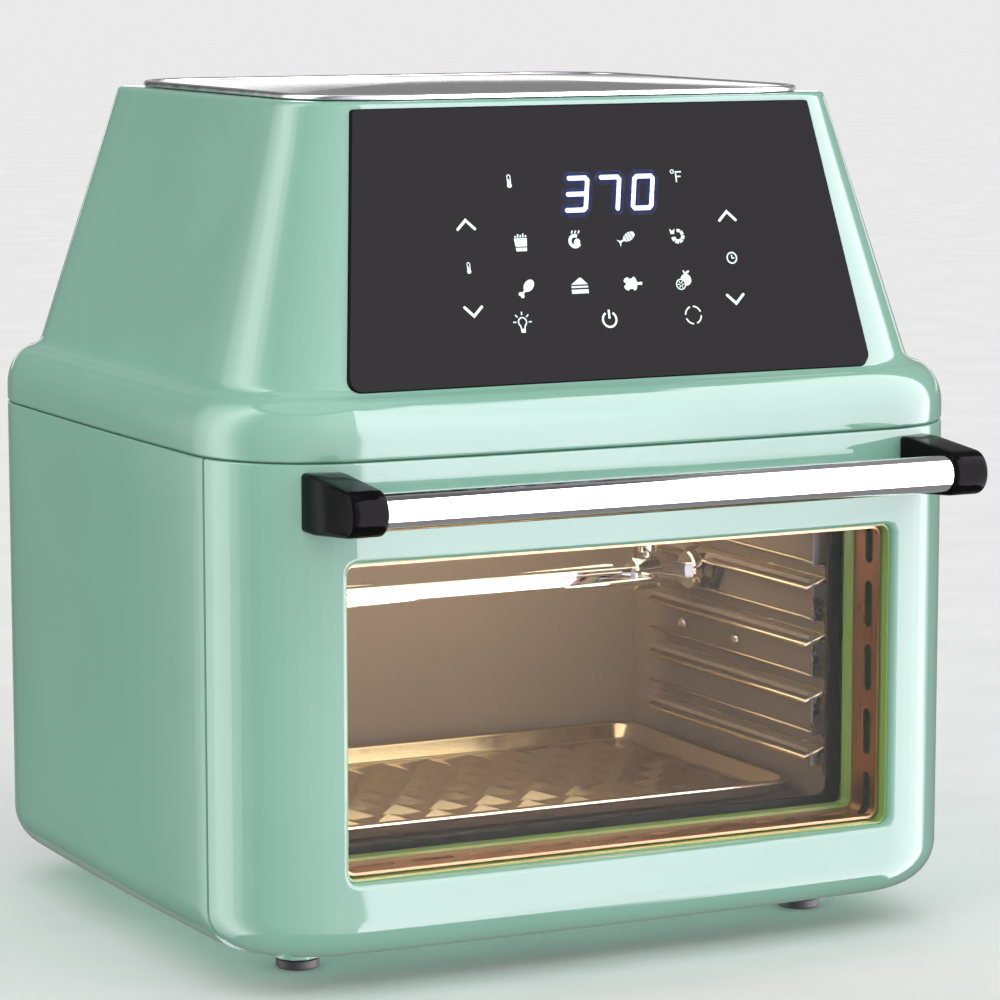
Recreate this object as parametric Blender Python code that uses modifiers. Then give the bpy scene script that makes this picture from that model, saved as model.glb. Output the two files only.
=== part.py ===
"""Countertop air-fryer oven: drop-down glass door, rotisserie spit, convection fan.

Every piece is one object in the collection "toaster_oven".  Coordinates are metres, +Z up, the
front of the oven faces -Y.  Pieces are laid out in the oven frame, whose origin is on the table
under the middle of the body; the empty "oven" shifts that frame so that the middle of the whole
object's box, handle included, stands over the world origin.
"""
import math

import bmesh
import bpy
from mathutils import Matrix, Vector

MM = 0.001
CLEARANCE = 0.3 * MM

# ---------------------------------------------------------------- driving dimensions
BODY_WIDTH = 380 * MM
BODY_DEPTH = 340 * MM
CORNER_RADIUS = 56.5 * MM
SIDE_BOW = 1.4 * MM
FRONT_BOW = 3.2 * MM
BODY_BOTTOM = 17.3 * MM
BOTTOM_FILLET = 20.9 * MM
SEAM_Z = 239.4 * MM
SEAM_GAP = 2.0 * MM
SKIN = 3.0 * MM

SHOULDER_START = 6.6 * MM          # straight part of the hood above the seam
TOWER_BASE = (349.5 * MM, 307.3 * MM, 47.6 * MM, 266.8 * MM)   # width, depth, corner radius, height
TOWER_TOP = (279.6 * MM, 242.9 * MM, 30.2 * MM, 388.6 * MM)
TOWER_BOW = 0.6 * MM
TOWER_EDGE = 3.0 * MM              # radius of the tower's top edge
COVER_SIZE = (260 * MM, 234 * MM, 40 * MM)                     # width, depth, corner radius
COVER_RIM = 2.6 * MM
COVER_DOME = 1.6 * MM

DOOR_REAR = -122.3 * MM            # y of the door's rear edge
BODY_FRONT = -120.5 * MM           # y of the body shell's front edge
HINGE_Y = -140 * MM
HINGE_Z = 35 * MM
DOOR_HEEL = 17.7 * MM              # radius of the door's lower rear corner, about the hinge

WINDOW_LEFT_RIGHT = 142 * MM       # half width of the window at the door's face
WINDOW_LOW = 49.9 * MM
WINDOW_HIGH = 198.2 * MM
WINDOW_RADIUS = 8 * MM
WINDOW_BEVEL = 3.2 * MM
GLASS_THICKNESS = 4 * MM
OUTER_GLASS_Y = -159.5 * MM
INNER_GLASS_Y = -128.8 * MM
SLEEVE_WALL = 1.2 * MM
SLEEVE_HALF_WIDTH = 137.2 * MM
SLEEVE_Z = (54.8 * MM, 193.3 * MM)
BACK_PANEL_Y = -125.4 * MM
BACK_PANEL_THICKNESS = 2.2 * MM

HANDLE_HALF_WIDTH = 158.5 * MM
HANDLE_FRONT = -214.2 * MM
HANDLE_Z = 222.7 * MM
BRACKET_WIDTH = 17.5 * MM
BRACKET_HEIGHT = 26 * MM
TUBE_RADIUS = 8.3 * MM
TUBE_Y = -205 * MM
TUBE_SOCKET = 11 * MM

CAVITY_HALF_WIDTH = 136 * MM
CAVITY_FRONT = -118.4 * MM
CAVITY_BACK = 79 * MM
CAVITY_FLOOR = 53.4 * MM
CAVITY_CEILING = 232 * MM
LINER_WALL = 1.2 * MM

SPIT_Y = -3 * MM
SPIT_Z = 152.4 * MM
SPIT_SIDE = 8 * MM
FAN_Y = -19 * MM
FAN_OPENING = 84 * MM

RACK_LEVELS = 5
RACK_FIRST_Z = 79.6 * MM
RACK_PITCH = 27.2 * MM
RACK_Y = (-112 * MM, 46 * MM)
RACK_REACH = 9.5 * MM

FOOT_X = 132.4 * MM
FOOT_FRONT_Y = -94.6 * MM
FOOT_BACK_Y = 112 * MM
FOOT_RADIUS = 9.9 * MM
FOOT_HEIGHT = 5 * MM
BOSS_RADIUS = 12.2 * MM

BODY_BACK = BODY_DEPTH / 2
GLAND_PROUD = 3.2 * MM
OVEN_Y = -(HANDLE_FRONT + BODY_BACK + GLAND_PROUD) / 2

CORNER_STEPS = 5                   # segments of a body corner
BOW_STEPS = 2
SMALL_STEPS = 3                    # segments of a small corner
ROUND = 16                         # segments of a round piece
FINE_ROUND = 10                    # segments of a screw, pin or probe

# ---------------------------------------------------------------- looks
LOOKS = {
    # name: (red, green, blue, alpha, roughness, metallic)
    "mint_plastic": (0.40, 0.68, 0.56, 1.0, 0.18, 0.0),
    "black_plastic": (0.012, 0.012, 0.013, 1.0, 0.2, 0.0),
    "dark_plastic": (0.05, 0.05, 0.055, 1.0, 0.45, 0.0),
    "panel_glass": (0.03, 0.03, 0.032, 1.0, 0.08, 0.0),
    "clear_glass": (0.80, 0.90, 0.84, 0.25, 0.03, 0.0),
    "chrome": (0.85, 0.85, 0.86, 1.0, 0.08, 1.0),
    "steel": (0.62, 0.60, 0.57, 1.0, 0.28, 1.0),
    "cover_steel": (0.20, 0.20, 0.21, 1.0, 0.35, 1.0),
    "rubber": (0.02, 0.02, 0.02, 1.0, 0.7, 0.0),
    "aluminium": (0.75, 0.76, 0.77, 1.0, 0.35, 1.0),
    "heater_steel": (0.22, 0.19, 0.17, 1.0, 0.5, 1.0),
    "motor_steel": (0.45, 0.46, 0.48, 1.0, 0.4, 1.0),
    "board": (0.02, 0.16, 0.07, 1.0, 0.5, 0.0),
    "ceramic": (0.85, 0.83, 0.78, 1.0, 0.5, 0.0),
}


def start_scene():
    for obj in list(bpy.data.objects):
        bpy.data.objects.remove(obj, do_unlink=True)
    parts = bpy.data.collections.new("toaster_oven")
    cutters = bpy.data.collections.new("cutters")
    for collection in (parts, cutters):
        bpy.context.scene.collection.children.link(collection)
    return parts, cutters


def make_looks():
    made = {}
    for name, (red, green, blue, alpha, roughness, metallic) in LOOKS.items():
        material = bpy.data.materials.new(name)
        material.use_nodes = True
        shader = material.node_tree.nodes["Principled BSDF"]
        shader.inputs["Base Color"].default_value = (red, green, blue, 1.0)
        shader.inputs["Alpha"].default_value = alpha
        shader.inputs["Roughness"].default_value = roughness
        shader.inputs["Metallic"].default_value = metallic
        made[name] = material
    return made


PARTS, CUTTERS = start_scene()
MATERIALS = make_looks()


# ---------------------------------------------------------------- frames and placing
def add_frame(name, point, parent=None):
    """An empty at a point of the oven frame; moving pieces hang on the one on their joint's axis."""
    empty = bpy.data.objects.new(name, None)
    empty.empty_display_size = 30 * MM
    PARTS.objects.link(empty)
    empty.location = point
    empty.parent = parent
    return empty


OVEN = add_frame("oven", (0, OVEN_Y, 0))
DOOR = add_frame("door_axis", (0, HINGE_Y, HINGE_Z), OVEN)
SPIT = add_frame("spit_axis", (0, SPIT_Y, SPIT_Z), OVEN)
FAN = add_frame("fan_axis", (0, FAN_Y, SEAM_Z), OVEN)

TURN = {
    "X": (0, math.pi / 2, 0),
    "Y": (math.pi / 2, 0, 0),
    "Z": (0, 0, 0),
    "XZ": (math.pi / 2, 0, 0),             # flat outline standing across the oven
    "YZ": (math.pi / 2, 0, math.pi / 2),   # flat outline standing along the oven
}


def place(obj, parent, centre=(0, 0, 0), turn=(0, 0, 0)):
    """Hang an object on a frame, at a place given in the oven frame."""
    obj.parent = parent
    if parent is not OVEN:
        obj.matrix_parent_inverse = Matrix.Translation(parent.location).inverted()
    obj.location = centre
    obj.rotation_euler = TURN[turn] if isinstance(turn, str) else turn
    return obj


def add_piece(name, mesh, look, parent, centre=(0, 0, 0), turn=(0, 0, 0)):
    obj = bpy.data.objects.new(name, mesh)
    PARTS.objects.link(obj)
    mesh.materials.clear()
    mesh.materials.append(MATERIALS[look])
    return place(obj, parent, centre, turn)


def add_cutter(name, mesh, centre=(0, 0, 0), turn=(0, 0, 0)):
    obj = bpy.data.objects.new(name, mesh)
    CUTTERS.objects.link(obj)
    obj.hide_render = True
    obj.display_type = "WIRE"
    return place(obj, OVEN, centre, turn)


def combine(obj, other, operation, solver):
    modifier = obj.modifiers.new(other.name, "BOOLEAN")
    modifier.operation = operation
    modifier.object = other
    modifier.solver = solver
    return obj


def cut(obj, cutter, solver="EXACT"):
    return combine(obj, cutter, "DIFFERENCE", solver)


def join(obj, other, solver="EXACT"):
    return combine(obj, other, "UNION", solver)


def add_bevel(obj, width, segments=2):
    bevel = obj.modifiers.new("edges", "BEVEL")
    bevel.width = width
    bevel.segments = segments
    bevel.limit_method = "ANGLE"
    return obj


def add_wall(obj, thickness):
    wall = obj.modifiers.new("wall", "SOLIDIFY")
    wall.thickness = thickness
    wall.offset = -1.0
    wall.use_even_offset = True
    return obj


def smooth(obj, angle=35):
    obj.data.shade_smooth()
    obj.data.set_sharp_from_angle(angle=math.radians(angle))
    return obj


# ---------------------------------------------------------------- shapes
def box_mesh(size):
    mesh = bpy.data.meshes.new("box")
    shape = bmesh.new()
    bmesh.ops.create_cube(shape, size=1.0, matrix=Matrix.Diagonal((*size, 1.0)))
    shape.to_mesh(mesh)
    shape.free()
    return mesh


def rod_mesh(radius, length, segments=ROUND, end_radius=None):
    mesh = bpy.data.meshes.new("rod")
    shape = bmesh.new()
    bmesh.ops.create_cone(shape, cap_ends=True, segments=segments, radius1=radius,
                          radius2=radius if end_radius is None else end_radius, depth=length)
    shape.to_mesh(mesh)
    shape.free()
    return mesh


def loft_mesh(rings, close_start=False, close_end=False):
    """Skin over rings of equal length, each anticlockwise seen from the side the rings run to."""
    mesh = bpy.data.meshes.new("loft")
    shape = bmesh.new()
    rows = [[shape.verts.new(point) for point in ring] for ring in rings]
    count = len(rings[0])
    for lower, upper in zip(rows, rows[1:]):
        for i in range(count):
            j = (i + 1) % count
            shape.faces.new((lower[i], lower[j], upper[j], upper[i]))
    if close_start:
        shape.faces.new(reversed(rows[0]))
    if close_end:
        shape.faces.new(rows[-1])
    shape.to_mesh(mesh)
    shape.free()
    return mesh


def mesh_of_curve(curve):
    """The closed mesh of a curve, with its loose caps welded on."""
    helper = bpy.data.objects.new("helper", curve)
    PARTS.objects.link(helper)
    graph = bpy.context.evaluated_depsgraph_get()
    mesh = bpy.data.meshes.new_from_object(helper.evaluated_get(graph))
    bpy.data.objects.remove(helper)
    shape = bmesh.new()
    shape.from_mesh(mesh)
    bmesh.ops.remove_doubles(shape, verts=shape.verts, dist=1e-6)
    bmesh.ops.recalc_face_normals(shape, faces=shape.faces)
    shape.to_mesh(mesh)
    shape.free()
    return mesh


def plate_mesh(loops, thickness):
    """A flat plate from an outline and any holes, centred on its own thickness."""
    curve = bpy.data.curves.new("plate", "CURVE")
    curve.dimensions = "2D"
    curve.fill_mode = "BOTH"
    curve.extrude = thickness / 2
    for loop in loops:
        spline = curve.splines.new("POLY")
        spline.points.add(len(loop) - 1)
        for point, (x, y) in zip(spline.points, loop):
            point.co = (x, y, 0, 1)
        spline.use_cyclic_u = True
    return mesh_of_curve(curve)


def wire_mesh(points, radius, closed=False):
    curve = bpy.data.curves.new("wire", "CURVE")
    curve.dimensions = "3D"
    curve.bevel_depth = radius
    curve.bevel_resolution = 2
    curve.use_fill_caps = True
    spline = curve.splines.new("POLY")
    spline.points.add(len(points) - 1)
    for point, place_at in zip(spline.points, points):
        point.co = (*place_at, 1)
    spline.use_cyclic_u = closed
    return mesh_of_curve(curve)


def turned(name, profile, look, parent, centre, turn="Z", steps=ROUND):
    """A turned piece: (radius, height) pairs running down the outer side, axis to axis."""
    mesh = bpy.data.meshes.new(name)
    closed = profile[0][0] > 0
    count = len(profile)
    edges = [(i, i + 1) for i in range(count - 1)]
    if closed:
        edges.append((count - 1, 0))
    mesh.from_pydata([(radius, 0, height) for radius, height in profile], edges, [])
    obj = add_piece(name, mesh, look, parent, centre, turn)
    screw = obj.modifiers.new("turn", "SCREW")
    screw.steps = steps
    screw.render_steps = steps
    screw.use_merge_vertices = True
    screw.merge_threshold = 1e-5
    screw.use_smooth_shade = True
    return obj


def box(name, low, high, look, parent=OVEN, edge=0.0):
    """A box between two corners of the oven frame."""
    size = [b - a for a, b in zip(low, high)]
    centre = [(a + b) / 2 for a, b in zip(low, high)]
    obj = add_piece(name, box_mesh(size), look, parent, centre)
    return add_bevel(obj, edge) if edge else obj


def rod(name, radius, length, centre, turn, look, parent=OVEN, segments=ROUND):
    return smooth(add_piece(name, rod_mesh(radius, length, segments), look, parent, centre, turn))


def box_cutter(name, low, high):
    size = [b - a for a, b in zip(low, high)]
    centre = [(a + b) / 2 for a, b in zip(low, high)]
    return add_cutter(name, box_mesh(size), centre)


def rod_cutter(name, radius, length, centre, turn, segments=ROUND):
    return add_cutter(name, rod_mesh(radius, length, segments), centre, turn)


def outline(width, depth, radius, bow_x=0.0, bow_y=0.0, corner_steps=CORNER_STEPS):
    """Rounded rectangle with slightly bowed sides, anticlockwise from its front left."""
    half_x = width / 2 - radius - bow_x
    half_y = depth / 2 - radius - bow_y
    sides = ((half_x, half_y, bow_y, bow_x), (half_y, half_x, bow_x, bow_y))
    points = []
    for quarter in range(4):
        half, distance, bow, next_bow = sides[quarter % 2]
        facing = (quarter - 1) * math.pi / 2
        normal = Vector((math.cos(facing), math.sin(facing)))
        along = Vector((-normal.y, normal.x))
        sweep = 2 * math.atan2(max(bow, 1e-7), half)
        next_sweep = 2 * math.atan2(max(next_bow, 1e-7), distance)
        curve = half / math.sin(sweep)
        steps = BOW_STEPS if bow else 1
        for step in range(steps + 1):
            angle = sweep * (2 * step / steps - 1)
            reach = distance + curve * (math.cos(angle) - math.cos(sweep))
            heading = facing + angle
            points.append(along * curve * math.sin(angle) + normal * reach
                          + Vector((math.cos(heading), math.sin(heading))) * radius)
        corner = along * half + normal * distance
        first = facing + sweep
        last = facing + math.pi / 2 - next_sweep
        for step in range(1, corner_steps):
            heading = first + (last - first) * step / corner_steps
            points.append(corner + Vector((math.cos(heading), math.sin(heading))) * radius)
    return points


def ring_at(points, height):
    return [(point.x, point.y, height) for point in points]


def body_outline(inset):
    radius = max(CORNER_RADIUS - inset, 4 * MM)
    return outline(BODY_WIDTH - 2 * inset, BODY_DEPTH - 2 * inset, radius, SIDE_BOW, FRONT_BOW)


def body_ring(inset, height):
    return ring_at(body_outline(inset), height)


def blend(start, end, share):
    return tuple(a + (b - a) * share for a, b in zip(start, end))


def lower_rings(inset, shrink=0.0):
    """Rings up the outside of the lower body: flat underside, quarter-round edge, wall."""
    rings = [body_ring(inset, BODY_BOTTOM + shrink)]
    radius = BOTTOM_FILLET - shrink
    for step in range(5):
        angle = math.pi / 2 * step / 4
        rings.append(body_ring(shrink + radius * (1 - math.sin(angle)),
                               BODY_BOTTOM + shrink + radius * (1 - math.cos(angle))))
    return rings


def arc(centre, radius, first, last, steps):
    return [(centre[0] + radius * math.cos(math.radians(first + (last - first) * step / steps)),
             centre[1] + radius * math.sin(math.radians(first + (last - first) * step / steps)))
            for step in range(steps + 1)]


def rounded(low, high, radius):
    """Rounded rectangle between two corners, as (across, up) pairs."""
    width, height = high[0] - low[0], high[1] - low[1]
    centre = Vector(((low[0] + high[0]) / 2, (low[1] + high[1]) / 2))
    return [tuple(point + centre) for point in outline(width, height, radius, corner_steps=SMALL_STEPS)]


def slot(low, high):
    """Slot with round ends between two corners, longer across than up."""
    radius = (high[1] - low[1]) / 2
    middle = (low[1] + high[1]) / 2
    return (arc((high[0] - radius, middle), radius, -90, 90, 2)
            + arc((low[0] + radius, middle), radius, 90, 270, 2))


# ---------------------------------------------------------------- hood
def make_top_hood():
    bottom = SEAM_Z + SEAM_GAP / 2
    start = (BODY_WIDTH, BODY_DEPTH, CORNER_RADIUS, bottom + SHOULDER_START)
    rings = [body_ring(0, bottom), body_ring(0, start[3])]
    for step in range(1, 6):
        angle = math.pi / 2 * step / 5
        width, depth, radius, _ = blend(start, TOWER_BASE, 1 - math.cos(angle))
        height = start[3] + (TOWER_BASE[3] - start[3]) * math.sin(angle)
        bow_x, bow_y = blend((SIDE_BOW, FRONT_BOW), (TOWER_BOW, TOWER_BOW), 1 - math.cos(angle))
        rings.append(ring_at(outline(width, depth, radius, bow_x, bow_y), height))
    width, depth, radius, top = TOWER_TOP
    for angle in (0, 45, 90):
        inset = TOWER_EDGE * (1 - math.cos(math.radians(angle)))
        rise = TOWER_EDGE * math.sin(math.radians(angle))
        rings.append(ring_at(outline(width - 2 * inset, depth - 2 * inset, radius - inset,
                                     TOWER_BOW, TOWER_BOW), top + rise))
    lip = 18 * MM
    rings.append(ring_at(outline(width - 2 * lip, depth - 2 * lip, radius - lip / 2, TOWER_BOW, TOWER_BOW),
                         top + TOWER_EDGE))
    hood = add_piece("top_hood", loft_mesh(rings), "mint_plastic", OVEN)
    add_wall(hood, SKIN)
    cut(hood, panel_cutter())
    cut(hood, grille_cutter())
    return smooth(hood)


# The control panel lies in the tower's sloping front plane.
PANEL_TOP = Vector((0, -TOWER_TOP[1] / 2, TOWER_TOP[3] - 0.2 * MM))
PANEL_FOOT = Vector((0, -TOWER_BASE[1] / 2, TOWER_BASE[3] + 0.8 * MM))
PANEL_HALF_TOP = 116 * MM
PANEL_HALF_FOOT = 131.8 * MM
PANEL_THICKNESS = 3 * MM
PANEL_PROUD = 0.7 * MM
PANEL_UP = (PANEL_TOP - PANEL_FOOT).normalized()
PANEL_OUT = Vector((0, -PANEL_UP.z, PANEL_UP.y))
PANEL_LENGTH = (PANEL_TOP - PANEL_FOOT).length
PANEL_LEAN = math.atan2(PANEL_UP.z, PANEL_UP.y)


def panel_point(across, up, depth):
    """A point behind the panel's face: across, up the slope from its foot, and in from the face."""
    return PANEL_FOOT + Vector((across, 0, 0)) + PANEL_UP * up - PANEL_OUT * depth


def panel_loop(grow):
    """The panel's outline, four-sided with rounded corners, as (across, up the slope)."""
    low, high = -grow, PANEL_LENGTH + grow
    foot, top = PANEL_HALF_FOOT + grow, PANEL_HALF_TOP + grow
    corner, small = 7 * MM, 2 * MM
    loop = arc((foot - corner, low + corner), corner, -90, 0, 4)
    loop += arc((top - small, high - small), small, 0, 90, 2)
    loop += arc((-top + small, high - small), small, 90, 180, 2)
    loop += arc((-foot + corner, low + corner), corner, 180, 270, 4)
    return loop


def panel_cutter():
    return add_cutter("panel_cutter", plate_mesh([panel_loop(CLEARANCE)], 14 * MM),
                      panel_point(0, 0, 3 * MM), (PANEL_LEAN, 0, 0))


def make_control_panel():
    add_piece("control_panel_glass", plate_mesh([panel_loop(0)], PANEL_THICKNESS), "panel_glass", OVEN,
              panel_point(0, 0, PANEL_THICKNESS / 2 - PANEL_PROUD), (PANEL_LEAN, 0, 0))
    board = rounded((-95 * MM, 15 * MM), (95 * MM, 108 * MM), 4 * MM)
    add_piece("control_board", plate_mesh([board], 1.6 * MM), "board", OVEN,
              panel_point(0, 0, 14 * MM), (PANEL_LEAN, 0, 0))
    display = rounded((-24 * MM, 72 * MM), (42 * MM, 98 * MM), 2 * MM)
    add_piece("display_module", plate_mesh([display], 8 * MM), "dark_plastic", OVEN,
              panel_point(0, 0, 8.5 * MM), (PANEL_LEAN, 0, 0))


# The exhaust grille lies in the tower's sloping back plane, a mirror image of the front.
def grille_point(up, depth):
    point = panel_point(0, up, depth)
    return Vector((0, -point.y, point.z))


def grille_cutter():
    loop = rounded((-75.4 * MM, 34.6 * MM), (75.4 * MM, 85.4 * MM), 6 * MM)
    return add_cutter("grille_cutter", plate_mesh([loop], 14 * MM), grille_point(0, 3 * MM),
                      (math.pi - PANEL_LEAN, 0, 0))


def make_exhaust_grille():
    slots = []
    for row in range(4):
        low = (41 + 11 * row) * MM
        for side in (-1, 1):
            across = sorted((side * 6 * MM, side * 66 * MM))
            slots.append(slot((across[0], low), (across[1], low + 5 * MM)))
    loop = rounded((-75 * MM, 35 * MM), (75 * MM, 85 * MM), 5.7 * MM)
    add_piece("exhaust_grille", plate_mesh([loop] + slots, 2.4 * MM), "dark_plastic", OVEN,
              grille_point(0, 1.2 * MM), (math.pi - PANEL_LEAN, 0, 0))


def make_top_cover():
    width, depth, radius = COVER_SIZE
    base = TOWER_TOP[3] + TOWER_EDGE + CLEARANCE
    rings = []
    for inset, rise in ((0, 0), (0, COVER_RIM * 0.6), (0.8 * MM, COVER_RIM), (5 * MM, COVER_RIM),
                        (6 * MM, COVER_RIM - 0.6 * MM), (28 * MM, COVER_RIM + COVER_DOME * 0.6)):
        rings.append(ring_at(outline(width - 2 * inset, depth - 2 * inset, max(radius - inset, 8 * MM)),
                             base + rise))
    rings.append([(x * 0.35, y * 0.35, base + COVER_RIM + COVER_DOME) for x, y, _ in rings[0]])
    cover = add_piece("top_cover", loft_mesh(rings, True, True), "cover_steel", OVEN)
    return smooth(cover)


# ---------------------------------------------------------------- lower body
REAR_OPENING = ((-120 * MM, 70 * MM), (120 * MM, 205 * MM))
GLAND_X = -145 * MM
GLAND_Z = 60 * MM


def make_body_shell():
    rings = lower_rings(30 * MM) + [body_ring(0, SEAM_Z - SEAM_GAP / 2)]
    shell = add_piece("body_shell", loft_mesh(rings), "mint_plastic", OVEN)
    add_wall(shell, SKIN)
    far = 250 * MM
    cut(shell, box_cutter("front_cutter", (-far, -far, -far), (far, BODY_FRONT, 2 * far)))
    loop = rounded(*REAR_OPENING, 8 * MM)
    cut(shell, add_cutter("rear_cutter", plate_mesh([loop], 30 * MM), (0, BODY_BACK, 0), "XZ"))
    cut(shell, rod_cutter("gland_cutter", 6.3 * MM, 40 * MM, (GLAND_X, 160 * MM, GLAND_Z), "Y"))
    return smooth(shell)


def make_rear_cover():
    """Flat vented cover in the opening of the shell's back, held by two screws at its top."""
    (left, low), (right, high) = REAR_OPENING
    loops = [rounded((left + CLEARANCE, low + CLEARANCE), (right - CLEARANCE, high - CLEARANCE), 7.7 * MM)]
    for row in range(5):
        level = (90 + 18 * row) * MM
        for column in (-1, 1):
            across = sorted((column * 12 * MM, column * 98 * MM))
            loops.append(slot((across[0], level), (across[1], level + 5 * MM)))
    thickness = 2 * MM
    face = BODY_BACK - FRONT_BOW - 0.4 * MM
    for name, x in (("left", -110 * MM), ("right", 110 * MM)):
        spot = (x, high - 9 * MM)
        loops.append(arc(spot, 1.9 * MM, 0, 330, 11))
        head = [(0, 1.8 * MM), (2.4 * MM, 1.8 * MM), (3.2 * MM, 0.9 * MM), (3.2 * MM, CLEARANCE),
                (1.5 * MM, CLEARANCE), (1.5 * MM, -8 * MM), (0, -9 * MM)]
        turned("rear_screw_" + name, head, "steel", OVEN, (x, face, spot[1]), (-math.pi / 2, 0, 0),
               steps=FINE_ROUND)
    add_piece("rear_cover", plate_mesh(loops, thickness), "dark_plastic", OVEN,
              (0, face - thickness / 2, 0), "XZ")


def make_cord_gland():
    inner = BODY_BACK - 22 * MM
    profile = [(4 * MM, 22 * MM + GLAND_PROUD), (8 * MM, 22 * MM + GLAND_PROUD),
               (9.5 * MM, 22.4 * MM), (6 * MM, 22.4 * MM), (6 * MM, 10 * MM), (4 * MM, 10 * MM)]
    obj = turned("cord_gland", profile, "black_plastic", OVEN,
                             (GLAND_X, inner, GLAND_Z), (-math.pi / 2, 0, 0))
    return obj


def make_base_and_feet():
    thickness = 2.4 * MM
    top = BODY_BOTTOM + SKIN + CLEARANCE + thickness
    base = add_piece("base_plate", plate_mesh([body_outline(24 * MM)], thickness), "mint_plastic", OVEN,
                     (0, 0, top - thickness / 2))
    far = 250 * MM
    cut(base, box_cutter("base_front_cutter", (-far, -far, 0), (far, BODY_FRONT - 0.5 * MM, 60 * MM)))
    boss_bottom = FOOT_HEIGHT + CLEARANCE
    stud_top = boss_bottom + 9 * MM
    spots = {"front_left": (-FOOT_X, FOOT_FRONT_Y), "front_right": (FOOT_X, FOOT_FRONT_Y),
             "back_left": (-FOOT_X, FOOT_BACK_Y), "back_right": (FOOT_X, FOOT_BACK_Y)}
    for name, (x, y) in spots.items():
        length = top - boss_bottom - 1 * MM
        boss = add_cutter("boss_" + name, rod_mesh(BOSS_RADIUS - 1.2 * MM, length, 10, BOSS_RADIUS),
                          (x, y, boss_bottom + length / 2))
        join(base, boss)
    for name, (x, y) in spots.items():
        cut(base, rod_cutter("stud_hole_" + name, 3.3 * MM, 24 * MM, (x, y, stud_top - 11 * MM), "Z", 10))
        profile = [(0, stud_top), (3 * MM, stud_top), (3 * MM, FOOT_HEIGHT), (FOOT_RADIUS, FOOT_HEIGHT),
                   (FOOT_RADIUS, 1 * MM), (FOOT_RADIUS - 1 * MM, 0), (0, 0)]
        turned("foot_" + name, profile, "rubber", OVEN, (x, y, 0))


def make_chassis_deck():
    level = SEAM_Z + SEAM_GAP / 2 + 2.2 * MM
    rim = [tuple(point) for point in body_outline(SKIN + 0.6 * MM)]
    hole = arc((0, FAN_Y), FAN_OPENING + 12 * MM, 0, 345, 23)
    add_piece("chassis_deck", plate_mesh([rim, hole], 1.5 * MM), "aluminium", OVEN, (0, 0, level))


# ---------------------------------------------------------------- door
def window_ring(inset, y):
    low = (-WINDOW_LEFT_RIGHT + inset, WINDOW_LOW + inset)
    high = (WINDOW_LEFT_RIGHT - inset, WINDOW_HIGH - inset)
    return [(x, y, z) for x, z in rounded(low, high, WINDOW_RADIUS - inset)]


def window_cutter():
    """Opens the door's face, with a sloping bevel down to the glass."""
    face = -BODY_DEPTH / 2 + FRONT_BOW
    rings = [window_ring(-WINDOW_BEVEL, face - 5 * MM), window_ring(WINDOW_BEVEL, face + 4.4 * MM),
             window_ring(WINDOW_BEVEL, face + 20 * MM)]
    mesh = loft_mesh([list(reversed(ring)) for ring in rings], True, True)
    return add_cutter("window_cutter", mesh)


def heel_cutter():
    """Everything behind the door, and its lower rear corner, rounded about the hinge."""
    far = 260 * MM
    loop = [(HINGE_Y, 0)] + arc((HINGE_Y, HINGE_Z), DOOR_HEEL, -90, 0, 5)
    loop += [(DOOR_REAR, 2 * far), (far, 2 * far), (far, 0)]
    return add_cutter("heel_cutter", plate_mesh([loop], 2 * far), (0, 0, 0), "YZ")


def hinge_boss(side, skin_middle):
    """Round boss for the hinge pin, trimmed so that its outer end stays inside the door's skin."""
    inner, outer = 163 * MM, 190 * MM
    boss = add_cutter("hinge_boss_" + side, rod_mesh(7 * MM, outer - inner, 12),
                      (SIDES[side] * (inner + outer) / 2, HINGE_Y, HINGE_Z), "X")
    return combine(boss, skin_middle, "INTERSECT", "MANIFOLD")


SIDES = {"left": -1, "right": 1}
PIN_RADIUS = 3 * MM


def make_door_shell():
    top = SEAM_Z - SEAM_GAP / 2
    rings = lower_rings(26 * MM)
    rings += [body_ring(0, top - 1 * MM), body_ring(1 * MM, top), body_ring(46 * MM, top)]
    shell = add_piece("door_shell", loft_mesh(rings), "mint_plastic", DOOR)
    add_wall(shell, SKIN)
    cut(shell, heel_cutter(), "MANIFOLD")
    cut(shell, window_cutter(), "MANIFOLD")
    skin_middle = add_cutter("door_skin_middle", loft_mesh(
        lower_rings(30 * MM, SKIN / 2) + [body_ring(SKIN / 2, 120 * MM)], True, True))
    for side in SIDES:
        join(shell, hinge_boss(side, skin_middle), "MANIFOLD")
    for side, sign in SIDES.items():
        across = sorted((sign * 155 * MM, sign * 162 * MM))
        cut(shell, box_cutter("arm_slot_" + side, (across[0], -148 * MM, 0), (across[1], -110 * MM, 28 * MM)),
            "MANIFOLD")
        cut(shell, rod_cutter("pin_hole_" + side, PIN_RADIUS + CLEARANCE, 16 * MM,
                              (sign * (161 * MM + 8 * MM), HINGE_Y, HINGE_Z), "X", 12), "MANIFOLD")
        cut(shell, rod_cutter("screw_hole_" + side, 2.3 * MM, 30 * MM,
                              (sign * BRACKET_X, -160 * MM, HANDLE_Z), "Y", 12), "MANIFOLD")
    return smooth(shell)


def make_door_glass():
    outer = rounded((-144.4 * MM, 45.5 * MM), (144.4 * MM, 202.5 * MM), 9 * MM)
    add_piece("door_outer_glass", plate_mesh([outer], GLASS_THICKNESS), "clear_glass", DOOR,
              (0, OUTER_GLASS_Y, 0), "XZ")
    inner = rounded((-141 * MM, 50.5 * MM), (141 * MM, 197.5 * MM), 6 * MM)
    add_piece("door_inner_glass", plate_mesh([inner], GLASS_THICKNESS), "clear_glass", DOOR,
              (0, INNER_GLASS_Y, 0), "XZ")


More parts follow.
